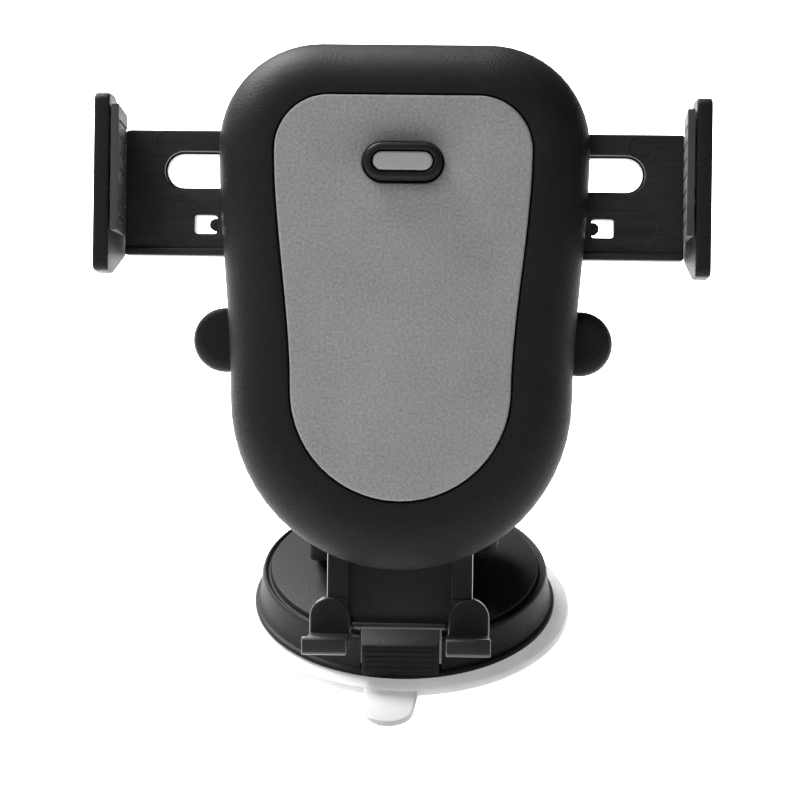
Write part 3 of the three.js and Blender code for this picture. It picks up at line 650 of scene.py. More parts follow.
def piece(name, bm, measure, finish, body, *replaced):
    """Puts a solid drawn in millimetres into the frame, as the stand-in for some of its nodes."""
    made = as_object(bm, name)
    made.data.transform(measure)
    made.data.polygons.foreach_set("use_smooth", [True] * len(made.data.polygons))
    made.data.set_sharp_from_angle(angle=SHARP)
    made.data.materials.clear()
    made.data.materials.append(finish.material)
    if body:
        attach(made, body)
    if replaced:
        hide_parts(*replaced)
    finished.append(made)
    print(f"{name}: {len(made.data.polygons)} faces")
    return made


# %% [markdown]
# ## The front cover
# The cover is a shallow shell. Its rim falls away from a narrow flat land in a quarter of an ellipse,
# wider than it is deep, which is what gives the holder its soft, tyre-like edge. The pad lies in a recess in
# the middle and the trigger comes up through a hole. The shell is cut out of a solid: first the rim by
# insets, then the hollow, the recess and the hole.

# %% Cover dimensions
RIM = Vector((9.0, 7.6))  # across and deep
FRONT = cover.lo.y
PARTING = cover.hi.y
WALL = 2.0
PAD_GAP = 0.3
pad_thick = pad.hi.y - pad.lo.y
trigger = Span("trigger_button", HEAD)
trigger_cap = Span("trigger_cap", HEAD)
TRIGGER_Z = (trigger_cap.lo.z + trigger_cap.hi.z) / 2
TRIGGER_SIZE = (13.8, 6.5)
screw_spans = [Span(f"cover_screw_{i}", HEAD) for i in (1, 2, 3, 4)]
SCREW_PLACES = [((s.lo.x + s.hi.x) / 2, (s.lo.z + s.hi.z) / 2) for s in screw_spans]
pinion = Span("pinion", HEAD)
PINION_Z = (pinion.lo.z + pinion.hi.z) / 2


def trigger_outline(margin=0.0):
    width, height = TRIGGER_SIZE
    return obround(0, TRIGGER_Z, width + 2 * margin, height + 2 * margin)


# %% Front cover
def front_cover():
    ceiling = FRONT + pad_thick + 2.0
    shell = moulding(cover_outline(), "y", FRONT, PARTING, eased(RIM.x, RIM.y, 14), [])
    hollow = moulding(cover_outline(WALL), "y", ceiling, PARTING + 1, eased(5.5, 2.4, 5), [])
    lip = 0.35
    recess = pocket(pad_outline(-PAD_GAP - lip), "y", FRONT, lip, FRONT + pad_thick)
    hole = moulding(trigger_outline(0.3), "y", FRONT - 1, ceiling + 1, [], [])
    return cut(shell, hollow, recess, hole)


piece("front_shell", front_cover(), HEAD, cover_black, "cradle", "front_cover")

# %% [markdown]
# ## The pad
# The grey plate is let into the cover with its face level with the rim's land. A thin groove all round
# it reads as a dark line, and its eased edge as a light one.


# %% Grey pad
def front_pad():
    plate = moulding(pad_outline(), "y", pad.lo.y, pad.hi.y, eased(0.4, 0.4, 4), eased(0.1, 0.1, 1))
    lip = 0.4
    return cut(plate, pocket(trigger_outline(0.3 + lip), "y", pad.lo.y, lip, pad.hi.y + 1))


piece("grey_pad", front_pad(), HEAD, pad_grey, "cradle", "front_pad")

# %% [markdown]
# ## The trigger
# Pressing the oval lets the arms go. It is a black ring that stands proud of the pad, with a paler
# insert sunk in its middle. The ring's outer edge is well rounded for the fingertip.


# %% Trigger and its insert
def trigger_ring():
    front, back, lip = trigger.lo.y, trigger.hi.y, 0.35
    body = moulding(trigger_outline(), "y", front, back - 0.5, eased(0.9, 0.8, 6), [])
    flange = moulding(trigger_outline(1.2), "y", back - 1.6, back - 0.6, eased(0.2), eased(0.2))
    inner = obround(0, TRIGGER_Z, 11.0 + 2 * lip, 3.8 + 2 * lip)
    return cut(join(body, flange), pocket(inner, "y", front, lip, front + 1.35))


def trigger_insert():
    width = trigger_cap.hi.x - trigger_cap.lo.x
    height = trigger_cap.hi.z - trigger_cap.lo.z
    outline = obround(0, TRIGGER_Z, width, height)
    return moulding(outline, "y", trigger_cap.lo.y, trigger_cap.hi.y, eased(0.5, 0.3, 5), [])


piece("trigger_ring", trigger_ring(), HEAD, trigger_black, "trigger", "trigger_button")
piece("trigger_insert", trigger_insert(), HEAD, insert_grey, "trigger", "trigger_cap")

# %% [markdown]
# ## The rear cover
# The back is the other half of the shell: a straight wall, a rounded edge and a flat back, with a round
# boss that holds the ball. The arms and the buttons come out through slots in its wall, the foot
# bracket through one at its bottom, and four screws from behind hold the halves together.

# %% Rear cover
rear = Span("rear_cover", HEAD)
HEAD_BACK = 20.3
SOCKET = {"hollow": 10.4, "wall": 12.0, "foot": 14.2}
ARM = {"front": 10.0, "back": 14.2, "low": 8.9, "high": 31.4, "root": 18.0, "end": 50.0}


def rear_cover():
    near = PARTING + PAD_GAP
    shell = moulding(cover_outline(), "y", near, HEAD_BACK, [], eased(3.0, 3.0, 8))
    hollow = moulding(cover_outline(WALL), "y", near - 1, HEAD_BACK - WALL, [], eased(1.5, 1.5, 3))
    foot, wall = SOCKET["foot"], SOCKET["wall"]
    boss = turned(
        [(0, HEAD_BACK - 1), (foot, HEAD_BACK - 1), (foot, HEAD_BACK + 0.5), (12.6, HEAD_BACK + 1.0),
         (wall, HEAD_BACK + 2.4), (wall, rear.hi.y), (0, rear.hi.y)],
        "y", easing=0.5,
    )
    posts = [rod("y", 3.1, near, HEAD_BACK - 1, (x, 0, z), 0.1) for x, z in SCREW_PLACES]
    pin_post = rod("y", 3.2, 14.7, HEAD_BACK - 1, (0, 0, PINION_Z), 0.1)
    rails = [brick((s * 13.6, s * 15.2), (14.9, HEAD_BACK - 1), (-40, -14)) for s in (-1, 1)]
    return join(cut(shell, hollow), boss, *posts, pin_post, *rails)


def rear_holes():
    """The cutters: the ball's socket, slots for arms, buttons and bracket, and holes for screws and pin."""
    ball = turned(ball_profile(SOCKET["hollow"], 85, 34), "y", (0, BALL_DEPTH, 0), easing=0)
    arm_back, beyond = ARM["back"] + 0.3, 60
    sides = []
    for s in (-1, 1):
        sides.append(brick((s * 27.6, s * beyond), (0, arm_back), (ARM["low"] - 0.4, ARM["high"] + 0.4), 0))
        sides.append(brick((s * 22, s * beyond), (0, 16.0), (PINION_Z - 6.2, PINION_Z + 6.2), 0))
        sides.append(brick((s * 22, s * beyond), (0, arm_back), (PINION_Z - 9.6, PINION_Z + 9.6), 0))
    tongue = brick((-14.0, 14.0), (13.9, 18.3), (-beyond, -30), 0)
    heads = [moulding(circle(x, z, 3.0, 24), "y", 17.4, HEAD_BACK + 1, [], []) for x, z in SCREW_PLACES]
    shanks = [rod("y", 1.5, 0, 30, (x, 0, z), 0) for x, z in SCREW_PLACES]
    return [ball, *sides, tongue, *heads, *shanks, rod("y", 1.35, 10, 18.4, (0, 0, PINION_Z), 0)]


piece("rear_shell", cut(rear_cover(), *rear_holes()), HEAD, cover_black, "cradle", "rear_cover")

# %% [markdown]
# ## Cover screws
# Small pan-head screws with a cross recess. The head is turned, and the cross is two thin bricks cut
# out of it.


# %% Cover screws
def cover_screw(x, z):
    low, high = 17.8, 19.6
    head = turned([(0, low), (2.4, low), (2.3, high - 0.5), (1.4, high), (0, high)], "y", (x, 0, z), 32)
    shank = rod("y", 1.1, 6, low + 0.5, (x, 0, z), steps=24)
    long, thin = 1.4, 0.3
    deep = (high - 0.9, high + 1)
    cross = [brick((x - a, x + a), deep, (z - b, z + b), 0) for a, b in ((long, thin), (thin, long))]
    return cut(join(head, shank), *cross)


for i, (x, z) in enumerate(SCREW_PLACES, 1):
    piece(f"pan_screw_{i}", cover_screw(x, z), HEAD, steel, "cradle", f"cover_screw_{i}")

# %% [markdown]
# ## The clamp arms
# Each arm is a flat plate with a long round-ended slot, which clears a screw post as the arm slides, and
# a small window with a catch in it. Inside the cover the plate becomes a leg with a rack, whose teeth
# mesh with the pinion, so that both arms always move together. The ejector pins of the mould have left
# round marks on the plate, and a rail runs along its lower edge.

# %% Arm dimensions
SLOT = {"z": 24.2, "inner": 24.0, "outer": 39.6, "radius": 3.4}
WINDOW = {"x": (33.5, 37.5), "z": (12.9, 16.2)}
EJECTOR_MARKS = ((42.3, 29.0, 2.3, 24, 0.16), (40.6, 15.4, 4.7, 36, 0.12))  # x, z, radius, points, depth
LEG = (22.3, 25.3)
LAYERS = {-1: (10.0, 12.0), 1: (12.4, 14.2)}
TOOTH = {"module": 0.8, "count": 12, "slack": 0.16, "lean": math.tan(math.radians(20))}
SPRING_Z = {-1: 5.9, 1: -18.0}
BUTTON = {"x": 31.8, "radius": 5.8, "front": 9.4, "back": 15.6}


# %% The plate of an arm
def arm_plate(side):
    front, back = ARM["front"], ARM["back"]
    outline = box_outline((side * ARM["root"], side * ARM["end"]), (ARM["low"], ARM["high"]), 0.7)
    plate = moulding(outline, "y", front, back, eased(0.3), eased(0.3))
    middle = side * (SLOT["inner"] + SLOT["outer"]) / 2
    width = SLOT["outer"] - SLOT["inner"] + 2 * SLOT["radius"]
    lip = 0.3
    tall = 2 * SLOT["radius"]
    slot = pocket(
        obround(middle, SLOT["z"], width + 2 * lip, tall + 2 * lip), "y", front, lip, back + 1,
        [(0, 1.2), (0.35, 0.0)],
    )
    window = pocket(
        box_outline([side * (x + o) for x, o in zip(WINDOW["x"], (-lip, lip))],
                    [z + o for z, o in zip(WINDOW["z"], (-lip, lip))], 0.9),
        "y", front, lip, back + 1,
    )
    marks = []
    for x, z, radius, count, depth in EJECTOR_MARKS:
        mark = circle(side * x, z, radius, count)
        marks.append(moulding(mark, "y", front - 1, front + depth, [], eased(0.1, 0.1, 2)))
    return cut(plate, slot, window, *marks)


# %% The rack inside the cover
def rack_outline(start, end, top):
    pitch = math.pi * TOOTH["module"]
    line = PINION_Z + TOOTH["module"] * TOOTH["count"] / 2
    tip, root = line - 0.55, line + 0.85
    thick = pitch / 2 - TOOTH["slack"]
    wide = thick / 2 + TOOTH["lean"] * (root - line)
    slim = thick / 2 - TOOTH["lean"] * (line - tip)
    points = [(start, top), (start, root)]
    for i in range(-8, 2):
        middle = (i + 0.5) * pitch
        points += [(middle - wide, root), (middle - slim, tip), (middle + slim, tip), (middle + wide, root)]
    return points + [(end, root), (end, top)]


def flipped(bm):
    """Half a turn about the pinion: the right arm's rack lies under it."""
    turn = Matrix.Rotation(math.pi, 3, "Y")
    bmesh.ops.rotate(bm, verts=bm.verts, cent=(0, 0, PINION_Z), matrix=turn)
    return bm


def arm(side):
    low, high = LAYERS[side][0] + SHY, LAYERS[side][1] - SHY
    edge = eased(0.1, 0.1, 1)
    across = [
        moulding(rack_outline(-LEG[1], 25.7, 3.0), "y", low, high, edge, edge),
        brick((22.6, 25.7 - SHY), (low + SHY, high - SHY), (PINION_Z - 2, 3.0 - SHY), 0.1),
        brick((25.2, BUTTON["x"]), (low + 0.5, high - 0.5), (PINION_Z - 2 + SHY, PINION_Z + 2), 0.1),
    ]
    if side > 0:
        across = [flipped(bm) for bm in across]
    leg_foot = 0.0 if side < 0 else 2 * PINION_Z - 0.4
    peg_foot = min(leg_foot, SPRING_Z[side] - 2)
    leg = brick([side * x for x in LEG], (low + 2 * SHY, high - 2 * SHY), (peg_foot, ARM["low"] + 1), 0.1)
    rail = brick(
        (side * 26, side * (ARM["end"] - SHY)), (ARM["front"] - 0.4, ARM["back"] - SHY),
        (ARM["low"] - SHY, ARM["low"] + 1.4), 0.3,
    )
    catch_at = (side * (WINDOW["x"][0] + 0.3), 0, sum(WINDOW["z"]) / 2)
    catch = rod("y", 1.1, ARM["front"] + 0.8, ARM["back"] - 0.3, catch_at, 0.15)
    return join(arm_plate(side), rail, catch, *across, leg)


for side, hand in ((-1, "left"), (1, "right")):
    piece(f"{hand}_clamp_arm", arm(side), HEAD, arm_dark, f"{hand}_clamp", f"{hand}_arm")

# %% [markdown]
# ## The jaws
# A jaw is a thin upright wall at the end of its arm, tall at the front where it holds the phone and
# tapering towards the arm behind. A rubber pad with shallow grooves is set into its inner side, and the pad
# leans in a little towards its front, so that a phone is drawn back against the grey plate.

# %% Jaw dimensions
JAW = {"inner": 50.3, "outer": 53.0, "front": -8.0, "low": 4.8, "high": 36.1}
JAW_PAD = {"low": 12.1, "high": 33.8, "root": 49.7, "tip": 48.7}


# %% Jaw and its rubber
def jaw(side):
    front, low, high = JAW["front"], JAW["low"], JAW["high"]
    outline = rounded(
        [(front, low + 0.4), (front, high - 0.4), (front + 6.5, high), (ARM["back"], ARM["high"]),
         (ARM["back"], ARM["low"]), (front + 6.5, low)], 1.6, 6,
    )
    inner, outer = sorted((side * JAW["inner"], side * JAW["outer"]))
    body = moulding(outline, "x", inner, outer, eased(0.45, 0.45, 4), eased(0.45, 0.45, 4))
    face = side * JAW["outer"]
    hollow = rounded(
        [(front + 4, low + 4.5), (front + 4, high - 4.5), (ARM["back"] - 3, ARM["high"] - 3),
         (ARM["back"] - 3, ARM["low"] + 3)], 1.5,
    )
    depth = 0.35
    ends = sorted((face - side * depth, face + side))
    panel = moulding(hollow, "x", *ends, eased(0.2, 0.2, 2), eased(0.2, 0.2, 2))
    return cut(body, panel)


def jaw_rubber(side):
    back = ARM["front"] - 0.8
    front, root, tip = JAW["front"], JAW_PAD["root"], JAW_PAD["tip"]
    outer = JAW["inner"] - PAD_GAP
    corners = [(side * tip, front), (side * root, back), (side * outer, back), (side * outer, front)]
    edge = eased(0.06, 0.06, 1)
    body = moulding(rounded(corners, 0.1), "z", JAW_PAD["low"], JAW_PAD["high"], edge, edge)
    lean_in = Matrix.Rotation(-math.atan2(side * (root - tip), back - front), 3, "Z")
    grooves = []
    count = 8
    for i in range(1, count):
        z = JAW_PAD["low"] + (JAW_PAD["high"] - JAW_PAD["low"]) * i / count
        groove = rod("y", 0.28, front + 1.5, back + 3, (0, 0, z), 0, 12)
        bmesh.ops.rotate(groove, verts=groove.verts, cent=(0, front, z), matrix=lean_in)
        bmesh.ops.translate(groove, verts=groove.verts, vec=(side * (tip - SHY), 0, 0))
        grooves.append(groove)
    return cut(body, *grooves)


for side, hand in ((-1, "left"), (1, "right")):
    clamp = f"{hand}_clamp"
    piece(f"{hand}_jaw_frame", jaw(side), HEAD, cover_black, clamp, f"{hand}_jaw")
    piece(f"{hand}_jaw_rubber", jaw_rubber(side), HEAD, rubber, clamp, f"{hand}_jaw_pad")

# %% [markdown]
# ## The release buttons
# A round button shows at each side of the cover, on the end of the rack that crosses from the other arm, so
# squeezing the two buttons together opens the jaws. The disc is turned, with a soft shoulder, and the
# rack's end fits in a square hole in its side.


# %% Release buttons
def release_button(side):
    r, front, back = BUTTON["radius"], BUTTON["front"], BUTTON["back"]
    disc = turned(
        [(0, front), (r - 1.8, front), (r - 0.5, front + 0.7), (r, front + 1.8), (r, back - 0.8),
         (r - 0.8, back), (0, back)],
        "y", (side * BUTTON["x"], 0, PINION_Z), 64, 0.7,
    )
    low, high = LAYERS[-side]
    width = (side * 20, side * (BUTTON["x"] + 0.3))
    rack_end = brick(width, (low + 0.2, high - 0.2), (PINION_Z - 2.3, PINION_Z + 2.3), 0)
    return cut(disc, rack_end)


for side, hand, other in ((-1, "left", "right"), (1, "right", "left")):
    button = release_button(side)
    piece(f"{hand}_round_button", button, HEAD, cover_black, f"{other}_clamp", f"{hand}_release_button")

# %% [markdown]
# ## The foot bracket
# The phone stands on two feet. They are the ends of two legs joined by a thin web, which slides up into
# the cover. Each leg swells into a round-topped lug over its foot, with an S-shaped shoulder beside it,
# and each foot ends in a low lip. A ledge joins the lugs along the bottom of the web.

# %% Foot bracket
TONGUE = {"half": 13.2, "front": 14.9, "back": 18.0, "top": -24.0, "low": -58.0}
FOOT = {"inner": 8.6, "outer": 16.3, "low": -60.6, "top": -58.8, "front": -6.0, "lip": 1.3}
SHOULDER = {"inner": 9.3, "low": -55.0, "high": -52.4, "proud": 0.42}


def foot_side(side):
    leg = brick(
        (side * (TONGUE["half"] - 4), side * TONGUE["half"]), (TONGUE["front"], TONGUE["back"]),
        (TONGUE["low"], TONGUE["top"]), 0.35,
    )
    inner, outer = FOOT["inner"] + 0.2, FOOT["outer"]
    middle, radius = side * (inner + outer) / 2, (outer - inner) / 2 - SHY
    foot = FOOT["low"] + 0.5
    top_half = arc(middle, TONGUE["low"] + 2, radius, 0, 180)
    hump = [(middle + radius, foot)] + top_half + [(middle - radius, foot)]
    lug = moulding(hump, "y", TONGUE["front"] - 0.6, TONGUE["back"] - SHY, eased(0.4, 0.4, 4), eased(0.3))
    width = (side * FOOT["inner"], side * FOOT["outer"])
    front, low, top = FOOT["front"], FOOT["low"], FOOT["top"]
    back = TONGUE["back"] - 2 * SHY
    profile = rounded(
        [(front, low), (back, low), (back, top), (front + 1.8, top),
         (front + 1.8, top + FOOT["lip"]), (front, top + FOOT["lip"])], 0.6,
    )
    shelf = moulding(profile, "x", *sorted(width), eased(0.26, 0.26, 3), eased(0.26, 0.26, 3))
    near, brow, far = SHOULDER["inner"], TONGUE["half"] - SHY, outer - 0.1
    shoulder = rounded(
        [(side * near, foot - SHY), (side * far, foot - SHY), (side * far, SHOULDER["low"]),
         (side * brow, SHOULDER["high"]), (side * near, SHOULDER["high"])], 1.2, 6,
    )
    front, back = TONGUE["front"] - SHOULDER["proud"], TONGUE["back"] - 4 * SHY
    wing = moulding(shoulder, "y", front, back, eased(0.25, 0.25, 3), eased(0.2))
    return [leg, lug, wing, shelf]


def foot_bracket():
    half, low = TONGUE["half"], TONGUE["low"]
    back, top = TONGUE["back"] - 3 * SHY, TONGUE["top"] - SHY
    web = brick((0.5 - half, half - 0.5), (TONGUE["front"] + 1.4, back), (low + SHY, top), 0.2)
    wide = FOOT["inner"] + 2 * SHY
    ledge = brick((-wide, wide), (TONGUE["front"] - 0.2, back - SHY), (low - SHY, low + 1.2), 0.35)
    return join(web, ledge, *foot_side(-1), *foot_side(1))


piece("foot_slide", foot_bracket(), HEAD, bracket_black, "feet", "foot_bracket")

# %% [markdown]
# ## Springs
# The arm springs and the latch's spring are wound from round wire. A circle of a few points is carried
# along a helix, and the last half turn at each end closes up, as on a real coil. A spring hangs on
# no body: it stays where it is drawn.


# %% A coil of wire
def coil(axis, radius, wire, turns, start, end, at):
    steps = int(turns * 20)
    length = end - start

    def centre(t):
        ease = min(1.0, max(0.0, (t * turns - 0.5) / (turns - 1.0)))
        angle = 2 * math.pi * turns * t
        along = start + length * (0.02 + 0.96 * ease)
        return oriented(axis, radius * math.cos(angle), radius * math.sin(angle), along)

    bm = bmesh.new()
    loops = []
    for i in range(steps + 1):
        here = centre(i / steps)
        ahead = (centre((i + 0.5) / steps) - centre((i - 0.5) / steps)).normalized()
        ring = bmesh.ops.create_circle(bm, segments=8, radius=wire, cap_ends=i in (0, steps))["verts"]
        turn = ahead.to_track_quat("Z", "X").to_matrix().to_4x4()
        bmesh.ops.transform(bm, matrix=Matrix.Translation(here + Vector(at)) @ turn, verts=ring)
        loops.append(ring)
    for near, far in zip(loops, loops[1:]):
        rim = {e for v in near + far for e in v.link_edges}
        edges = [e for e in rim if all(v in near for v in e.verts) or all(v in far for v in e.verts)]
        bmesh.ops.bridge_loops(bm, edges=edges)
    return tidy(bm)


def spring(name, bm, node, moving, fixed_at, moving_at):
    made = piece(name, bm, HEAD, steel, None, node)
    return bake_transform(made)


# %% Arm springs and latch spring
SPRING_DEPTH = 12.0
for side, hand in ((-1, "left"), (1, "right")):
    z = SPRING_Z[side]
    fixed, free = -side * 5.0, side * 21.8
    wound = coil("x", 1.35, 0.22, 16, min(fixed, free), max(fixed, free), (0, SPRING_DEPTH, z))
    ends = [(x, SPRING_DEPTH, z) for x in (fixed, free)]
    spring(f"{hand}_coil", wound, f"{hand}_spring", f"{hand}_clamp", *ends)

LATCH_SPRING = (8.2, 17.8)
latch_wound = coil("y", 1.2, 0.18, 8, *LATCH_SPRING, (0, 0, TRIGGER_Z))
moving_end, fixed_end = [(0, depth, TRIGGER_Z) for depth in LATCH_SPRING]
spring("latch_coil", latch_wound, "latch_spring", "latch", fixed_end, moving_end)

# %% [markdown]
# ## The suction cup
# The cup is one soft disc, turned, thin at its rim, with a hollow under its middle that makes the vacuum. A
# tongue sticks out at the front to peel it off the dashboard. Its rim catches the light, so it has a
# rounded edge.

# %% Suction cup
CUP_RADIUS = cup.hi.x
CUP_TOP = cup.hi.z
CUP_RIM = 1.6
TAB = {"width": 10.2, "length": 10.5, "thick": 1.2, "turn": 3.0}


def suction_cup():
    r, rim, top = CUP_RADIUS, CUP_RIM, CUP_TOP
    disc = turned(
        [(0, 1.2), (8, 1.2), (23, 0), (r - 0.2, 0), (r, 0.6), (r - 0.3, rim - 0.2), (r - 1.4, rim),
         (12, rim + 0.3), (7, top - 0.8), (6.2, top), (0, top)],
        "z", steps=128, easing=0.3,
    )
    half = TAB["width"] / 2
    reach = -r - TAB["length"] + half
    outline = [(-half, 2 - r)] + arc(0, reach, half - 0.45, 180, 360) + [(half, 2 - r)]
    tab = moulding(outline, "z", SHY, TAB["thick"], eased(0.3), eased(0.3))
    turn = Matrix.Rotation(-math.radians(TAB["turn"]), 3, "Z")
    bmesh.ops.rotate(tab, verts=tab.verts, cent=(0, 0, 0), matrix=turn)
    flange_room = rod("z", 5.4, 2.2, 3.6, edge=0)
    throat = rod("z", 2.5, 3, top + 1, edge=0)
    return cut(join(disc, tab), flange_room, throat)


piece("milky_cup", suction_cup(), WORLD, gel, "base", "suction_cup")

# %% [markdown]
# ## The base housing
# The housing is a shallow drum that presses the cup down: a thin flange, a slightly conical wall, a groove
# and a domed roof. Two ears on top hold the neck between them. The lock lever fills a slot in its front.

# %% Base housing
LEVER = {"half": 7.2, "pivot_y": -6.5, "pivot_z": 6.6, "pin": 1.2}
FLANGE = {"radius": 29.5, "low": CUP_RIM + 0.3}
DRUM = {"radius": 27.9, "shoulder": 9.0, "roof_edge": 9.8, "roof": 11.0, "wall": 1.8}
HINGE = {"z": 22.0, "inner": 7.2, "outer": 12.2, "radius": 12.0, "bolt": 2.5, "half_width": 18.2}


def ear(side):
    r = HINGE["radius"]
    outline = arc(0, HINGE["z"], r, 0, 180, 28) + [(-r, 9.9), (r, 9.9)]
    ends = sorted((side * HINGE["inner"], side * HINGE["outer"]))
    return moulding(outline, "x", *ends, eased(0.5, 0.5, 4), eased(0.5, 0.5, 4))


def drum():
    r, rf, low = DRUM["radius"], FLANGE["radius"], FLANGE["low"]
    top, edge, roof, wall = DRUM["shoulder"], DRUM["roof_edge"], DRUM["roof"], DRUM["wall"]
    return turned(
        [(0, roof - wall), (r - 2.6, edge - wall), (rf - 2.8, low + 1), (rf - 2.8, low), (rf, low),
         (rf, low + 0.9), (rf - 0.7, low + 1.2), (rf - 0.9, low + 1.6), (r, top - 0.2), (r - 0.4, top + 0.3),
         (r - 0.8, top + 0.1), (r - 1.0, top - 0.3), (r - 1.5, top - 0.3), (r - 1.8, edge), (16, edge + 0.8),
         (0, roof)],
        "z", steps=160, easing=0.22,
    )


def base_housing():
    """Drum, ears and the lever's two bosses, cut by the lever's slot (wide in front) and by both pins."""
    half = LEVER["half"] + 0.4
    low = FLANGE["low"] + 1.1
    wide = brick((-half, half), (-40, -11.8), (low, 20), 0)
    narrow = brick((-5.4, 5.4), (-13, -5.4), (low, 20), 0)
    y, z = LEVER["pivot_y"], LEVER["pivot_z"]
    bosses = [brick((s * 7.6, s * 10.2), (y - 3, y + 3), (4.4, 9.8), 0.1) for s in (-1, 1)]
    pin = rod("x", LEVER["pin"] + 0.2, -12, 12, (0, y, z), 0, 24)
    bolt = rod("x", HINGE["bolt"] + 0.4, -20, 20, (0, 0, HINGE["z"]), 0)
    body = cut(drum(), wide, narrow)
    return cut(join(body, *bosses, ear(-1), ear(1)), pin, bolt)


piece("base_drum", base_housing(), WORLD, base_black, "base", "base_housing")

# %% [markdown]
# ## The lock lever
# Pressing the lever down pulls the middle of the cup up. Its top carries on the roof of the drum and
# its front the wall, where grooves give the thumb a grip. Two pieces are joined: the curved shell and the
# spine under it, which is forked round the stud and turns on the lever's pin.


# %% Lock lever
def lock_lever():
    half = LEVER["half"]
    y, z = LEVER["pivot_y"], LEVER["pivot_z"]
    shell = rounded(
        [(-26.8, 7.6), (-28.6, 3.4), (-30.8, 3.6), (-29.5, 9.1), (-27.2, 9.7), (-16, 10.5), (-13.3, 10.6),
         (-13.3, 8.2)], 0.5,
    )
    top = moulding(shell, "x", -half, half, eased(0.25), eased(0.25))
    side = rounded(
        [(-14, 8.3), (-13, 10.2), (-8, 8.8), (y, 8.6), (y + 1.8, 7.7), (-3.9, 6.7), (0.6, 6.7), (0.6, 5.9),
         (y, 4.5), (y - 2, 5.2)], 0.4,
    )
    spine = moulding(side, "x", -5, 5, eased(0.15, count=2), eased(0.15, count=2))
    grooves = []
    count = 5
    for i in range(count):
        t = (i + 0.5) / count
        at = (0, -30.95 + 1.25 * t, 3.9 + 4.9 * t)
        grooves.append(rod("x", 0.26, -half + 0.8, half - 0.8, at, 0, 12))
    fork = brick((-2.5, 2.5), (-4.2, 4), (3, 9), 0)
    bore = rod("x", LEVER["pin"] + 0.2, -12, 12, (0, y, z), 0, 24)
    return cut(join(top, spine), *grooves, fork, bore)


piece("lever_grip", lock_lever(), WORLD, base_black, "lever", "lock_lever")

# %% [markdown]
# ## The hinge knob and cap
# The knob on one side and the cap on the other close the hinge. The knob has eight soft lobes, which
# come from a radius that rises and falls eight times round the rim, and a dished face.

# %% Knob and cap
KNOB = {"radius": 10.0, "lobe": 0.55, "lobes": 8}


def hinge_knob():
    outer, inner = -HINGE["half_width"], -HINGE["outer"] - 0.3
    outline = []
    count = 128
    for i in range(count):
        a = 2 * math.pi * i / count
        r = KNOB["radius"] + KNOB["lobe"] * math.cos(KNOB["lobes"] * a)
        outline.append((r * math.cos(a), HINGE["z"] + r * math.sin(a)))
    body = moulding(outline, "x", outer, inner, eased(1.1, 1.1, 6), eased(0.4, 0.4, 3))
    at = (0, 0, HINGE["z"])
    dish = turned(
        [(0, outer - 1), (7.4, outer - 1), (6.6, outer + 0.7), (0, outer + 0.9)], "x", at, easing=0.4
    )
    bore = rod("x", HINGE["bolt"] + 0.2, outer + 1.6, 0, at, 0)
    return cut(body, dish, bore)


def hinge_cap():
    inner, outer = HINGE["outer"] + 0.3, HINGE["half_width"]
    at = (0, 0, HINGE["z"])
    body = turned(
        [(0, inner), (9.3, inner), (9.3, outer - 1.6), (8.2, outer - 0.2), (6.6, outer), (6.3, outer - 0.4),
         (5.7, outer - 0.4), (5.4, outer), (0, outer)], "x", at, easing=0.5,
    )
    hexagon = moulding(circle(0, HINGE["z"], 4.6, 6), "x", HINGE["outer"] - 1, 16.2, [], [])
    return cut(body, hexagon)


piece("lobed_knob", hinge_knob(), WORLD, base_black, "knob", "hinge_knob")
piece("round_cap", hinge_cap(), WORLD, base_black, "base", "hinge_cap")

# %% [markdown]
# ## The neck
# The neck is a strong tapering link from the hinge up to an elbow, where a short stem carries the
# ball. A raised rim runs round its flat sides, which keeps it stiff with less plastic. The outline is
# two circles and the lines that touch them both.

# %% Neck and ball
NECK = {"hub": 10.0, "half": 5.9, "elbow_y": 16.1, "elbow_z": 49.2, "elbow": 5.5, "stem": 4.2, "ball": 8.5}
BALL = ball_centre / MM


def link_outline(low_radius, high_radius):
    y, z = NECK["elbow_y"], NECK["elbow_z"]
    dz = z - HINGE["z"]
    angle = math.degrees(math.atan2(dz, y))
    spread = math.degrees(math.acos((low_radius - high_radius) / math.hypot(y, dz)))
    low = arc(0, HINGE["z"], low_radius, angle + spread, angle - spread + 360, 28)
    return low + arc(y, z, high_radius, angle - spread, angle + spread, 20)


def neck_arm():
    half = NECK["half"]
    edge = eased(0.8, 0.8, 5)
    body = moulding(link_outline(NECK["hub"], NECK["elbow"]), "x", -half, half, edge, edge)
    hub = rod("x", NECK["hub"] - 1.6, -half, half, (0, 0, HINGE["z"]), 0.2)
    rim = 2.2
    panels = []
    for s in (-1, 1):
        ends = sorted((s * (half - 1.0), s * (half + 1)))
        sunk = link_outline(NECK["hub"] - rim, NECK["elbow"] - rim)
        panels.append(moulding(sunk, "x", *ends, eased(0.4), eased(0.4)))
    rise = Vector((0, BALL.y - NECK["elbow_y"], BALL.z - NECK["elbow_z"]))
    r, top = NECK["stem"], rise.length
    stem = turned(
        [(0, 0), (r + 0.6, 0), (r + 0.3, 2.5), (r, top * 0.5), (r, top), (0, top)], "z", easing=0.4
    )
    turn = rise.to_track_quat("Z", "X").to_matrix()
    bmesh.ops.rotate(stem, verts=stem.verts, cent=(0, 0, 0), matrix=turn)
    bmesh.ops.translate(stem, verts=stem.verts, vec=(0, NECK["elbow_y"], NECK["elbow_z"]))
    ball = turned(ball_profile(NECK["ball"], 86, 43), "y", BALL, easing=0)
    bore = rod("x", HINGE["bolt"] + 0.4, -20, 20, (0, 0, HINGE["z"]), 0)
    return cut(join(cut(body, *panels), hub, stem, ball), bore)


piece("neck_link", neck_arm(), WORLD, base_black, "neck", "neck_arm")

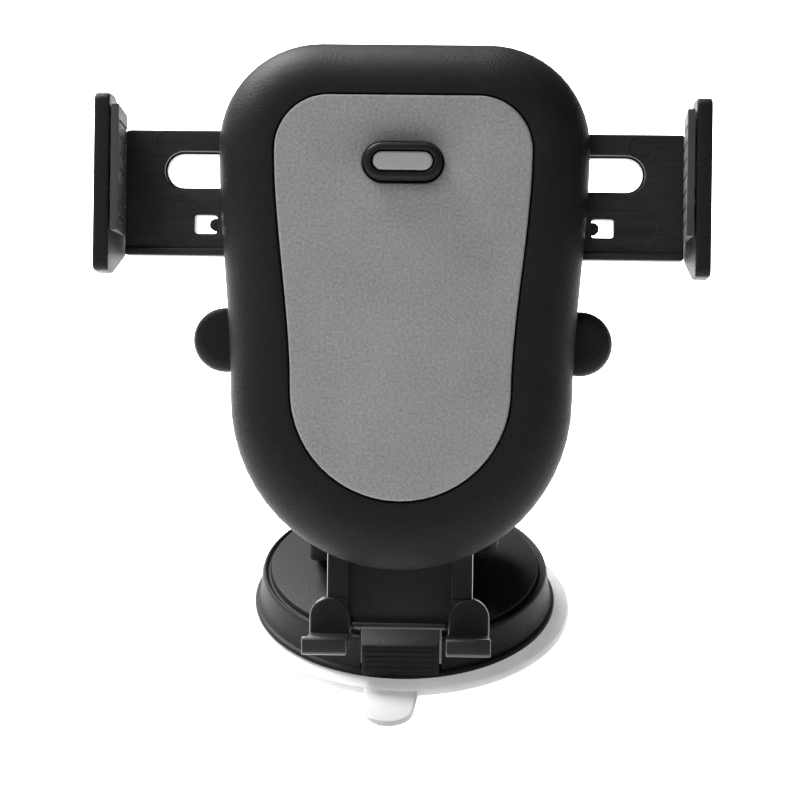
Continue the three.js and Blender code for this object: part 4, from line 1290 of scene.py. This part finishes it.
# %% [markdown]
# ## The collar nut
# The nut screws over the socket and squeezes the clamp ring round the ball. Its outside has twelve
# grooves to grip. It is turned first, and the grooves are cut with a ring of round bars.

# %% Collar nut
COLLAR = {"radius": 13.5, "bore": 12.4, "near": 21.5, "far": 38.5, "grooves": 12}


def collar_nut():
    r, bore, near, far = COLLAR["radius"], COLLAR["bore"], COLLAR["near"], COLLAR["far"]
    ring = turned(
        [(bore, 33.9), (8.4, 33.9), (7.9, 35.2), (10.9, far), (12.4, far), (r, far - 1.6), (r, near + 0.6),
         (r - 0.5, near), (bore, near)],
        "y", steps=144, easing=0.3,
    )
    reach = r + 0.75
    grooves = []
    for i in range(COLLAR["grooves"]):
        a = 2 * math.pi * i / COLLAR["grooves"]
        at = (reach * math.cos(a), 0, reach * math.sin(a))
        grooves.append(rod("y", 1.4, near + 2, far + 2, at, 0.5, 24))
    return cut(ring, *grooves)


piece("fluted_collar", collar_nut(), HEAD, cover_black, "collar", "collar_nut")

# %% [markdown]
# ## Small pieces that stay
# The gear, the latch, the pins and the washers already have their right shape, and most of them can only
# be seen through a gap. They keep the frame's meshes and get their real materials.

# %% Materials for the pieces that stay
KEPT = {
    "cup_stud": base_acetal,
    "lever_pin": bolt_steel,
    "hinge_bolt": bolt_steel,
    "friction_washer_left": washer_rubber,
    "friction_washer_right": washer_rubber,
    "ball_friction_pad": rubber,
    "ball_clamp_ring": acetal,
    "latch_rocker": acetal,
    "latch_pin": steel,
    "pinion": acetal,
    "pinion_pin": steel,
}
for node, finish in KEPT.items():
    nodes[node].data.materials.clear()
    nodes[node].data.materials.append(finish.material)
print("kept pieces:", len(KEPT))

# %% [markdown]
# ## Floor and light
# The holder stands on a plain white floor, which glows evenly by itself, so that it stays white and
# hardly shows a shadow. A large lamp behind the holder at the upper left gives the black rim its long
# highlight, a weak one in front shapes the arms and the feet, and a faint even sky fills the rest.

# %% Floor
FLOOR_HALF = 4.0  # metres, so that its edge stays out of sight
GLOW = 0.84
floor_mesh = bmesh.new()
bmesh.ops.create_grid(floor_mesh, x_segments=1, y_segments=1, size=FLOOR_HALF)
floor = as_object(floor_mesh, "floor")
floor_paint = Finish("pale_floor", None, IOR=1.3, Specular_IOR_Level=0.0, Emission_Strength=GLOW)
clouds = floor_paint.noise(floor_paint.millimetres(), 0.004, 2.0)
floor_paint.feed("Base Color", floor_paint.between(grey(0.93), grey(0.95), clouds))
floor_paint.feed("Emission Color", floor_paint.between(grey(0.98), grey(1.0), clouds))
floor_paint.feed("Roughness", 0.8 + 0.1 * clouds)
floor.data.materials.append(floor_paint.material)


# %% Lamps and sky
def lamp(name, place, aim, size, watts):
    data = bpy.data.lights.new(name, "AREA")
    data.size = size
    data.energy = watts
    made = bpy.data.objects.new(name, data)
    made.location = place
    made.rotation_mode = "QUATERNION"
    made.rotation_quaternion = (Vector(place) - Vector(aim)).to_track_quat("Z", "Y")
    scene.collection.objects.link(made)


aim = HEAD @ Vector((0, 0, 0))
lamp("rim", (-0.44, 0.47, 0.72), aim, 0.5, 48.0)
lamp("key", (-0.2, -0.22, 0.46), aim, 0.25, 1.25)
sky = bpy.data.worlds.new("studio")
sky.use_nodes = True
sky.node_tree.nodes["Background"].inputs["Color"].default_value = (1.0, 1.0, 1.0, 1.0)
sky.node_tree.nodes["Background"].inputs["Strength"].default_value = 0.12
scene.world = sky
scene.view_settings.view_transform = "Standard"

# %% [markdown]
# ## The camera
# The camera looks square at the cradle's face from about 40 cm, so it is raised by the same angle that the
# cradle leans back, and stands a touch to the right. It aims a little below the cradle's middle.

# %% Camera
DISTANCE = 0.4
AZIMUTH = math.radians(1.7)
AIM_Z = -16.5
FIELD = math.radians(19.8)
SENSOR = 36.0
target = HEAD @ Vector((0, 0, AIM_Z))
out = Vector((
    math.sin(AZIMUTH) * math.cos(lean),
    -math.cos(AZIMUTH) * math.cos(lean),
    math.sin(lean),
))
camera = bpy.data.objects.new("camera", bpy.data.cameras.new("camera"))
camera.data.sensor_width = SENSOR
camera.data.lens = SENSOR / 2 / math.tan(FIELD / 2)
camera.location = target + out * DISTANCE
camera.rotation_mode = "QUATERNION"
camera.rotation_quaternion = out.to_track_quat("Z", "Y")
scene.collection.objects.link(camera)
scene.camera = camera

# %% Count the new pieces
print("new pieces:", len(finished))
